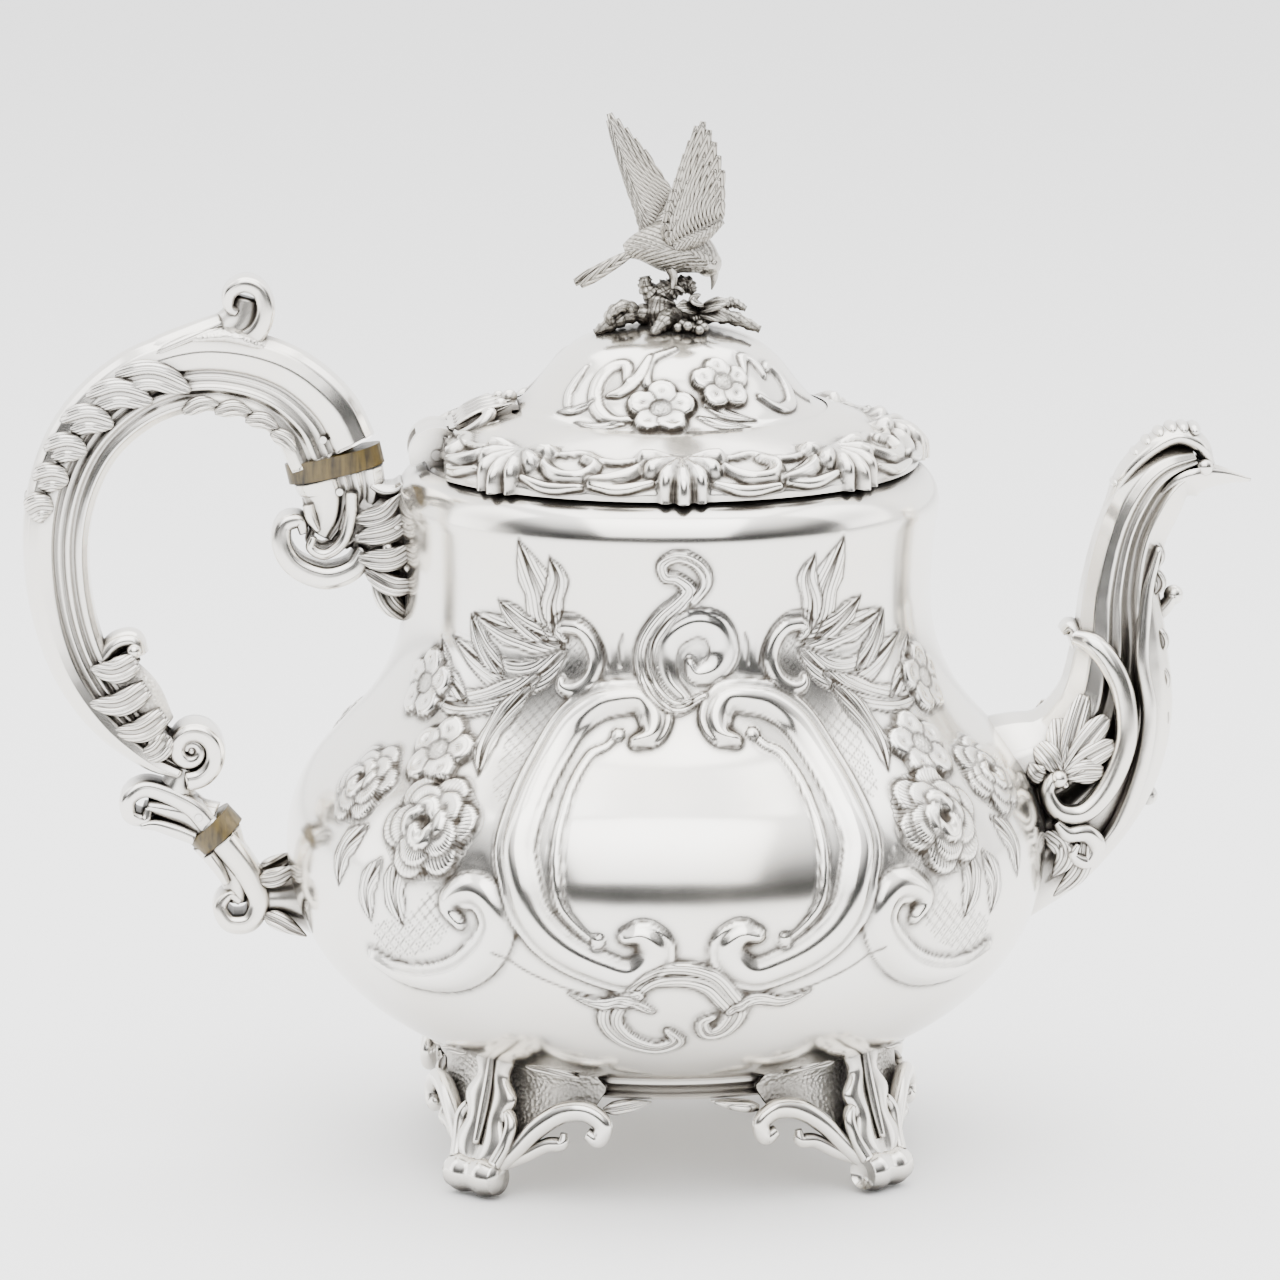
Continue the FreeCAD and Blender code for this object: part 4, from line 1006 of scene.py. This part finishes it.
def make_spout():
    cast = Casting()
    cast.tube(flat(SPOUT_LINE), SPOUT_TALL, SPOUT_DEEP, shape=POURING, caps=False, samples=120)
    bore = flat(SPOUT_LINE[4:])
    narrowing = (0.74, 0.74, 0.74, 0.74, 0.82, 1)
    cast.tube(bore, [k * t for k, t in zip(narrowing, SPOUT_TALL[4:])],
        [k * d for k, d in zip(narrowing, SPOUT_DEEP[4:])], shape=POURING[::-1], caps=False, samples=40)
    cast.tube(flat([(110.4, 149), (114.6, 153.2), (119.4, 154.8), (125.4, 153.8), (131.8, 151.4)]),
        (5, 6.6, 7, 4, 0.7), (4.4, 5.4, 5.2, 3.4, 0.8), shape=TROUGH, samples=40)
    cast.tube(flat([(99.4, 145.4), (103.2, 153), (108.6, 158.8), (114.6, 161.8), (119.8, 159.6),
        (122.4, 154.8)]), (1, 2, 2.2, 2.4, 2.2, 1.2), (2.4, 4.8, 6, 6, 5.4, 3.4), samples=40)
    for k, place in enumerate(smooth_path(flat([(101, 151), (106.4, 158.6), (112.6, 163), (118.4, 163)]), 8)):
        cast.ball(place, 1.2 + 0.08 * k, stretch=(1, 3.2, 1))
    for x, z, radius in ((114.6, 125, 2.3), (109.4, 78.8, 2.3), (111.4, 98.4, 1.6), (111, 88.4, 1.4)):
        cast.ball((x, 0, z), radius)
    cast.tube(flat([(109, 119.6), (112.4, 122), (114.6, 125)]), (2, 1.8, 1.4), 2.4)
    cast.tube(flat([(104, 82), (107.6, 79.6), (110.6, 78.4)]), (2.4, 1.8, 1.3), 2.2)
    cast.tube(flat([(96.4, 103), (95, 109.6), (93.4, 114.8), (91.2, 118.2), (89.2, 117)]),
        (2.6, 2.6, 2.4, 1.9, 1.1), (8, 7.2, 6.2, 5, 3.6), samples=30)

    def dress(sign):
        frame_line = [(92, 116.6), (95.4, 115.6), (99, 111.6), (102, 104.6), (102.6, 94.4), (98.8, 84.4),
            (93.2, 78.4), (87.4, 78.6), (84.6, 83.2), (86.8, 86.8), (89, 84.4)]
        cast.tube(on_spout(frame_line, sign, 0.5), (1.8, 2.4, 2.6, 2.6, 2.6, 2.6, 2.4, 2.2, 1.9, 1.6, 1),
            2.2, samples=90)
        ear = [(86.4, 76.6), (89.2, 73.6), (93.6, 73.4), (96, 70), (93.6, 66.8), (90.6, 68.6), (91.6, 71.2)]
        cast.tube(on_spout(ear, sign, 0.8), (1, 2, 2.3, 2.2, 1.9, 1.5, 0.9), 2, samples=50)
        long_rib = [(95.6, 67.8), (102, 76), (106.4, 88), (108, 100), (106.4, 112), (107.6, 126),
            (110.4, 137)]
        cast.tube(on_spout(long_rib, sign, -1.2), (0.8, 1.8, 1.9, 1.9, 1.7, 1.5, 0.8), 1.8, samples=60)
        for x, z in ((82.6, 93.6), (87.4, 99), (93.4, 104.4), (98.4, 99.6), (100, 93.6), (97.4, 87.4)):
            path = [(87.8, 86.6), ((87.8 + x) / 2, (86.6 + z) / 2 + 0.6), (x, z)]
            cast.leaf(on_spout(path, sign, 0.9), 2.5, 1.6, lobes=(0.3, 0.7, 1.05, 1.2, 1.05, 0.5))
        cast.ball(on_spout([(87.2, 86.2)], sign, 1.6)[0], 2.1)
        cast.ball((120.8, 4.2 * sign, 154.8), 1.9, stretch=(1, 0.7, 1))
        for x, z, dx, dz in ((108.6, 138.6, 2, -7.6), (109.2, 131.6, 1.6, -6), (110, 118.4, 1.6, -6.6),
                (110.6, 110, 1.4, -7.4), (110.8, 101.4, 0.8, -7.6), (109.6, 92.4, -1, -7.4)):
            y = sign * 4.4
            cast.leaf([(x, y, z), (x + dx * 0.6 + 0.6, y, z + dz / 2), (x + dx * 0.3, y, z + dz)], 1.8, 1.5)
        for start, end in (((84, 74), (88.6, 67)), ((84.4, 86.6), (80.8, 89.6)),
                ((88.6, 72.6), (86.2, 63.6)), ((93.4, 72.6), (86.6, 58.6))):
            cast.leaf(on_spout(bent(start, end, 0.15), sign, 0.4), 2.6, 1.5)

    for sign in (-1, 1):
        dress(sign)
    return cast.finish("spout_casting", CAST, "pot", "cast_silver", ["spout"])


# ---------------------------------------------------------------- feet

def foot_web(cast):
    """Thin matted panel that fans out from the toe to the ring."""
    heights = np.array([32, 29, 25, 20.5, 16, 11, 6])
    radii = np.array([57.4, 54.6, 53, 54, 56.6, 59.8, 62])
    halves = np.radians([13, 24, 27, 24, 15, 9, 5])
    rows, columns = 26, 30
    place = np.linspace(0, 1, rows)
    steps = np.linspace(0, 1, len(heights))
    z, r, half = (np.interp(place, steps, values)[:, None] for values in (heights, radii, halves))
    angle = half * np.linspace(-1, 1, columns)[None, :]
    z = np.broadcast_to(z, angle.shape)
    for offset, flip in ((0, 1), (-1.4, -1)):
        points = np.stack([(r + offset) * np.cos(angle), (r + offset) * np.sin(angle), z], axis=-1)
        cast.add(points[:, ::flip].reshape(-1, 3), grid_faces(rows, columns, False), matted=1)


def foot_casting():
    """One foot standing towards +X."""
    cast = Casting()
    foot_web(cast)
    cast.tube([(57.2, 0, 33.4), (57.4, 0, 28.6), (58.4, 0, 22.6), (60.4, 0, 15.6), (62.8, 0, 9.6),
        (64.4, 0, 7.4)], (1.4, 1.8, 2, 2.1, 2, 1.4), (2, 5.4, 4.4, 7.2, 5.6, 7.6, 6, 4), samples=40,
        shape=VEINED[:, ::-1])
    cast.tube([(58, 0, 33), (59.4, 0, 26), (61.4, 0, 18.6), (63.8, 0, 11.6)], (0.8, 1, 1.1, 0.8),
        (0.8, 1.1, 1.2, 0.8), samples=26)
    cast.tube([(63.9, -6.8, 4.7), (63.9, -3.4, 4.7), (63.9, 0, 4.7), (63.9, 3.4, 4.7), (63.9, 6.8, 4.7)],
        (3.6, 4.5, 3.9, 4.5, 3.6), side=(1, 0, 0), samples=32)
    cast.ball((57.6, 0, 33.2), 2.3)
    for sign in (-1, 1):
        def put(points):
            return [(x, sign * y, z) for x, y, z in points]
        cast.tube(put([(63, 4.6, 6), (60, 8.6, 11), (57.4, 13, 16.4), (54.6, 17.8, 20), (52, 22.4, 20.4),
            (50.2, 25.4, 17.6), (50.8, 24.6, 14.4), (52, 22.4, 15.6)]),
            (1.4, 2, 2.3, 2.4, 2.4, 2.3, 2, 1.4), (1.4, 1.9, 2, 2, 2, 2, 1.9, 1.4), side=(0.9, 0.3, 0),
            samples=60)
        cast.tube(put([(61.2, 6, 7), (58.6, 10, 9.6), (56.4, 14.4, 12.4), (55, 17.6, 13),
            (54.6, 18, 15.4)]), (1, 1.6, 1.7, 1.6, 0.8), (1, 1.5, 1.6, 1.5, 0.8), samples=34)
        cast.tube(put([(64.4, 5.6, 7.6), (61.8, 6.8, 12), (60.4, 7.4, 16.2), (59.6, 5.8, 18.6),
            (60.2, 4.6, 17)]), (1.5, 1.6, 1.5, 1.4, 1), samples=34)
        cast.leaf(put([(48.8, 24.4, 20.6), (45, 27.4, 21.2), (40.4, 31.2, 22)]), 1.7, 1.3, side=(0.8, 0.6, 0))
        cast.leaf(put([(57.2, 8, 30.6), (56, 14.2, 30.2), (52.4, 20.6, 28)]), 2.2, 1.4,
            side=(0.7, 0.35, -0.6))
        cast.tube(put([(56.6, 5, 31.6), (56.8, 9.4, 32.8), (55.4, 13.6, 31.8), (55.6, 11, 30.4)]), 1.1,
            1.1, samples=26)
    return cast


def make_feet():
    cast = foot_casting()
    for node, azimuth in (("foot_front_left", 225), ("foot_front_right", 315), ("foot_back_right", 45),
            ("foot_back_left", 135)):
        cast.turned_copies(azimuth).finish(node + "_casting", CAST, "pot", "cast_silver", [node])


# ---------------------------------------------------------------- lid

DOME_OUTLINE = [(36.4, 168.9), (33.4, 170.4), (30.6, 173.2), (28.2, 176.2), (24.5, 180.6), (18.6, 184.8),
    (9.6, 187.5), (0.3, 188.1)]
BORDER_OUTLINE = [(56.4, 157.2), (56.5, 159), (55.2, 161), (52.4, 162.8), (49, 164.6), (43.6, 166.9),
    (39, 168.6), (36, 169.4)]
BORDER_BACK = -50.4  # the border ends in a straight edge just ahead of the hinge pin
BORDER_INNER, BORDER_SEAT = 46.8, 157.9  # radius and height of the flat under the border


DOME_SCROLLS = (
    # points, greatest half width, height
    ([(-16, 171.4), (-25, 170.8), (-34, 173.2), (-38, 177.6), (-34, 181), (-26, 181.6), (-23, 178.8)],
        1.7, 1),
    ([(-10, 176.4), (-14, 179.6), (-12, 183), (2, 184.8)], 1.2, 0.8),
    ([(-30, 175.6), (-24, 176.6), (-18, 179.4), (-14, 183.4)], 1.4, 0.8),
    ([(40, 174.6), (48, 171.8), (58, 172.6), (63, 176.4), (60, 180), (54, 179.6)], 1.6, 1),
    ([(38, 179.6), (44, 182.4), (50, 181.6), (50, 178.4)], 1.3, 0.8),
    ([(66, 178.4), (69, 174.4), (75, 171.6)], 1.1, 0.6),
    ([(-46, 171.4), (-52, 175.6), (-50, 180.6)], 1.2, 0.6),
)


def chase_dome(chasing):
    for points, half, height in DOME_SCROLLS:
        chasing.stroke(points, [half * k for k in (0.5, 1, 1.1, 1, 0.6)], height)
    for points, half in (([(9, 171.6), (18, 169.9), (27, 169.4)], 1.6),
            ([(12, 174), (22, 171.6), (32, 170.4)], 1.5), ([(-20, 170.2), (-30, 169.6), (-40, 170)], 1.4),
            ([(-36, 174), (-44, 172), (-52, 171.4)], 1.3)):
        chasing.stroke(points, [half * k for k in (0.3, 1, 0.8, 0.2)], 0.5, "leaf", hatch=0.9)
    chasing.dome((-6, 172.9), 7.6, 2, five_petals)
    chasing.dome((22.5, 177.8), 6.8, 2, five_petals)


def make_lid_dome():
    step = 0.42
    outline = smooth_path(DOME_OUTLINE, int(46 / step))
    chasing = Chasing(outline, np.arange(-90, 90, math.degrees(step / DOME_GIRTH)))
    chase_dome(chasing)
    relief, angles, marks = chasing.repeated(7, 2.6)
    points = turned_points(chasing.radius, chasing.height, angles, relief,
        outline_normals(chasing.radius, chasing.height))
    return make_object("lid_dome_chasing", points.reshape(-1, 3), grid_faces(*relief.shape, True), CHASED,
        "lid", marks)


def shell_fan(rho, turn):
    """Fluted shell that opens towards the rim; `turn` is measured from straight out."""
    flute = np.abs(np.cos(turn * 6.5)) ** 0.7
    edge = 0.84 + 0.16 * flute
    body = np.clip((edge - rho) * 6, 0, 1) ** 0.6 * np.clip(0.25 + rho * 1.3, 0, 1)
    return body * (0.50 + 0.50 * flute)


def lay_shell(chasing, angle, base, size, height):
    """Shell on the rim with its root at radius `base`."""
    cells, along, turn, radius = chasing.window(chasing.place([(angle, base + size / 2)]), size * 1.3)
    across = radius * (turn - math.radians(angle))
    out = radius - base
    rho, fan = np.hypot(across, out) / size, np.arctan2(across, out)
    shape = np.where(np.abs(fan) < 1.75, shell_fan(rho, fan), 0)
    chasing.relief[cells] = np.where(shape > 0.02, shape * height, chasing.relief[cells])
    valley = np.exp(-(np.cos(fan * 6.5) / 0.30) ** 2) * (shape > 0.1)
    chasing.ink[cells] = np.where(shape > 0.02, 0.85 * valley, chasing.ink[cells])


BORDER_STROKES = (
    # points in (angle, radius), half width, height, profile
    ([(8, 49.4), (11.5, 52.6), (16.5, 54.6), (22, 54), (23.6, 51), (20.4, 49.6)], 2, 2.2, "scroll"),
    ([(37, 49.4), (33.5, 52.6), (28.5, 54.6), (24, 55.4)], 2.2, 2.2, "scroll_left"),
    ([(24, 56), (31, 56.2), (38, 55.4)], 1.2, 1.6, "rib"),
    ([(7, 47.6), (13, 48.4), (19, 47.4), (25, 49.6), (31, 49.6), (38, 47.4)], 1.2, 1.3, "rib"),
    ([(7, 55.6), (14, 56.4), (22, 56.2)], 1.2, 1.6, "rib"),
)


def chase_border(chasing):
    for sector in range(-2, 6):
        start = sector * 45
        for points, half, height, kind in BORDER_STROKES:
            path = [(angle + start, radius) for angle, radius in points]
            chasing.stroke(path, (half * 0.6, half, half, half * 0.7), height, kind, samples=40)
    for sector in range(-1, 6):
        lay_shell(chasing, sector * 45, 47.6, 10.4, 3)


def make_lid_border():
    """Ogee rim with a cast edge of shells and scrolls, open behind for the hinge."""
    step = 0.36
    outline = smooth_path(BORDER_OUTLINE, int(26 / step))
    chasing = Chasing(outline, np.arange(-79, 259, math.degrees(step / BORDER_GIRTH)), by_radius=True)
    chase_border(chasing)
    relief = blur(chasing.relief, 1, False)
    deep = np.maximum(np.clip((blur(relief, 6, False) - relief) * 1.6 - 0.03, 0, 1), chasing.ink)
    points = turned_points(chasing.radius, chasing.height, chasing.angles, relief,
        outline_normals(chasing.radius, chasing.height))
    points[..., 0] = np.maximum(points[..., 0], BORDER_BACK)
    rows, columns = relief.shape
    cast = Casting()
    cast.add(points.reshape(-1, 3), grid_faces(rows, columns, False), deep.ravel())
    inner = np.stack([BORDER_INNER * np.sin(chasing.angles), -BORDER_INNER * np.cos(chasing.angles),
        np.full(columns, BORDER_SEAT)], axis=-1)
    rim = np.stack([inner, points[0]])
    cast.add(rim.reshape(-1, 3), grid_faces(2, columns, False))
    cast.finish("lid_border_casting", CAST, "lid", "cast_silver", ["lid_border"])


def make_hinge_foliage():
    cast = Casting()
    for y, half in ((-6.4, 2.6), (-2.2, 2.8), (2.2, 2.8), (6.4, 2.6)):
        cast.leaf([(-47.6, y, 166), (-42, y * 1.05, 169), (-35, y * 1.2, 171.4)], 1.6, half, hatch=1)
        cast.leaf([(-47, y * 1.1, 163.6), (-42.6, y * 1.5, 165.6), (-38, y * 1.9, 168.2)], 1.6, 2.2, hatch=1)
    for sign in (-1, 1):
        curl = [(-48.6, 7.8 * sign, 163.4), (-45, 9.6 * sign, 165), (-41.6, 10.6 * sign, 167.4),
            (-39.8, 9.6 * sign, 169.6), (-41.4, 8.6 * sign, 169.4)]
        cast.tube(curl, (1.2, 1.6, 1.6, 1.4, 0.9), samples=34)
        side = [(-49.6, 8 * sign, 160), (-47.6, 13.4 * sign, 161.2), (-45.6, 16.6 * sign, 162.6)]
        cast.tube(side, (1.8, 2.6, 2), samples=24)
        cast.ball((-37.4, 5.4 * sign, 170.8), 1.5)
    cast.ball((-35.2, 0, 171.6), 1.8)
    return cast.finish("lid_hinge_foliage", CAST, "lid", "cast_silver", [])


# ---------------------------------------------------------------- bird and branch

def feather(cast, root, tip, half, bow=0.08):
    root, tip = np.array(root, dtype=float), np.array(tip, dtype=float)
    middle = (root + tip) / 2 + np.array([-(tip - root)[2], 0, (tip - root)[0]]) * bow
    cast.tube([root, middle, tip], [half * k for k in (0.5, 0.9, 1, 1, 0.95, 0.5)], (0.5, 0.6, 0.5, 0.3),
        shape=VEINED, hatch=0.8, slant=0.3, samples=16)


NEAR_WING = {"shoulder": (1.4, -3.8, 206.4), "wrist": (11.4, -6.6, 212.4), "node": "bird_wing_right",
    "tips": [(-1, -7, 211.4), (0.2, -7.8, 217), (2, -8.6, 222.4), (4, -9.6, 228.6), (6.8, -11, 234.6),
    (9.6, -10.6, 230.4), (11.6, -9.6, 223.6)]}
FAR_WING = {"shoulder": (-2.4, 3.6, 206.4), "wrist": (2.2, 6.4, 214.6), "node": "bird_wing_left",
    "tips": [(-5.4, 6.6, 209.4), (-6.6, 7.4, 214), (-8.6, 8.4, 219.6), (-10.8, 9.6, 227),
    (-12.4, 11, 233.6), (-9, 10.2, 230.8), (-4.6, 9.2, 225.6)]}


def make_wing(wing, name):
    cast = Casting()
    shoulder, wrist = np.array(wing["shoulder"]), np.array(wing["wrist"])
    count = 14
    tips = smooth_path(wing["tips"], count)
    away = math.copysign(1, shoulder[1])
    for reach, half, lift in ((1, 1.35, 0), (0.66, 1.3, 0.5), (0.40, 1.25, 0.9)):
        for k in range(count):
            root = shoulder + (wrist - shoulder) * k / (count - 1)
            tip = root + (tips[k] - root) * reach
            out = np.array([0, away * (lift + 0.07 * k), 0])
            feather(cast, root + out, tip + out, half)
    cast.tube([shoulder, (shoulder + wrist) / 2 + (0.4, 0, -0.6), wrist], (2.6, 2.6, 1.6),
        (1.9, 1.8, 1.2), matted=0.5, hatch=0.9, slant=0.8)
    return cast.finish(name, SATIN, "lid", "finial_silver", [wing["node"]])


def make_bird():
    """Plump bird that bends down to the vine with its tail held out behind."""
    cast = Casting()
    back = [(-9.4, 204.2), (-6, 205.2), (-1.2, 205.4), (3.6, 204.8), (7, 203.2), (9.2, 201.6), (10.6, 200.2)]
    cast.tube(flat(back), (1.6, 3.4, 5.6, 6, 4.6, 3.2, 1.8), (1.8, 3.2, 5, 5.2, 4.1, 3, 1.7), samples=60,
        matted=0.6, hatch=1, slant=0.5)
    cast.ball((9.2, 0, 201.4), 3.1, matted=0.3)
    cast.tube(flat([(10.4, 200), (10.5, 197.8), (10, 195.4)]), (1.3, 0.8, 0.15), (1.1, 0.7, 0.15))
    for k, y in enumerate((-1.8, -0.6, 0.6, 1.8)):
        feather(cast, (-7.4, y * 0.7, 204.4 - 0.2 * k), (-21.2 + abs(y), y * 1.3, 196.8 + 0.3 * k), 1.2, 0)
    for sign in (-1, 1):
        cast.ball((10.2, 2.7 * sign, 202), 0.55)
        leg = [(0.6, 2.2 * sign, 201), (1.4, 2 * sign, 198.4), (1.2, 1.6 * sign, 196)]
        cast.tube(leg, (1.5, 0.9, 0.8), (1.4, 0.9, 0.8))
        for reach in (-1, 0, 1):
            toe = [(1.2, 1.6 * sign, 196.4), (2.6, (1.6 + reach) * sign, 196.2),
                (3.6, (1.6 + 1.4 * reach) * sign, 195.2)]
            cast.tube(toe, (0.5, 0.5, 0.3), samples=8)
    return cast.finish("bird_casting", SATIN, "lid", "finial_silver", ["bird_body"])


BRANCHES = (
    # points, radii
    ([(0, 0, 187), (-1.6, -1, 190.4), (-1, 0, 194), (1.4, 0, 196.4)], (5.6, 3.6, 3.3, 2.2)),
    ([(-1, 0, 193), (-4.4, -1, 195.8), (-5, -1, 198.6)], (2.2, 1.9, 1.3)),
    ([(1, 0, 195.6), (4.4, 1, 196.6), (6, 1, 194.6)], (2.2, 1.9, 1)),
    ([(-2, 0, 189.6), (-7.6, -2, 190.4), (-12.6, -3, 188.4), (-16, -2, 186.2)], (2.6, 2, 1.7, 1)),
    ([(-6, -1, 190), (-9.6, -4, 192.6), (-13, -4.6, 190.6), (-12, -4, 188.2)], (1.6, 1.4, 1.3, 0.8)),
    ([(2, 0, 189.4), (8.6, -2, 190.2), (14.6, -3, 189.4), (20.6, -3, 186.8)], (2.6, 2, 1.6, 0.9)),
    ([(10, -2, 190.4), (14, -1, 192.6), (17.6, -1, 191.2)], (1.5, 1.3, 0.7)),
    ([(0, 2, 189.6), (-3, 8, 189.8), (-4, 13, 187)], (2.4, 1.8, 0.9)),
    ([(1, -2, 189.6), (-1, -8, 189.4), (-4, -11.6, 187.2)], (2.4, 1.8, 0.9)),
)


def make_branch():
    """Gnarled stump with knots, curled twigs and berries."""
    cast = Casting()
    for path, radii in BRANCHES:
        wobble = 1 + 0.13 * np.sin(np.arange(30) * 1.3) + 0.06 * np.sin(np.arange(30) * 3.1)
        radii = swell(radii, 30) * wobble
        cast.tube(path, radii, radii, side=(0.2, 1, 0.1), matted=0.8, hatch=1.1, slant=0.25, samples=30)
    for k in range(9):
        angle = 0.9 * k
        spot = (3 + 2.6 * math.cos(angle) + 0.3 * k, -9.4 + 1.6 * math.sin(angle), 187.9 + 0.5 * (k % 3))
        cast.ball(spot, 1.15)
    return cast.finish("finial_branch_casting", SATIN, "lid", "finial_silver", ["finial_branch"])


def make_vine_leaf():
    """Five-pointed leaf lying over the branch at the front."""
    cast = Casting()
    root = np.array([6.4, -5.2, 191.4])
    for degrees, long in ((150, 5.6), (95, 7.6), (35, 8.4), (-25, 7.2), (-80, 5)):
        angle = math.radians(degrees)
        reach = np.array([math.cos(angle), -0.45, math.sin(angle) * 0.55]) * long
        cast.leaf([root, root + reach * 0.55 + (0, -0.8, 0.5), root + reach], 2.2, 0.7,
            side=(0, -0.6, 0.8), hatch=0.8)
    return cast.finish("vine_leaf_casting", SATIN, "lid", "finial_silver", ["vine_leaf"])


def dress_cad_nodes():
    """Give each carried-over node its finish."""
    finish = {"chased_silver": CHASED, "cast_silver": CAST, "finial_silver": SATIN, "plain_silver": PLAIN,
        "bone": BONE}
    for row in frame["record"]["subparts"]:
        obj = frame["nodes"][row["node"]]
        obj.data.materials.clear()
        obj.data.materials.append(finish[row["material_slot"]])


make_camera()
make_world()
make_floor()
softbox("key", -4, 42, 1.5, 1.55, 1.5, 26)
softbox("top", 180, 78, 1.4, 1.6, 1.6, 24)
softbox("left", -95, 25, 1.6, 0.8, 1.6, 10)
softbox("right", 90, 30, 1.6, 0.8, 1.6, 10)
dress_cad_nodes()
make_body()
make_handle()
make_tail()
make_upper_socket()
make_lower_socket()
make_spout()
make_feet()
make_lid_dome()
make_lid_border()
make_hinge_foliage()
make_wing(FAR_WING, "bird_wing_left_casting")
make_wing(NEAR_WING, "bird_wing_right_casting")
make_bird()
make_branch()
make_vine_leaf()
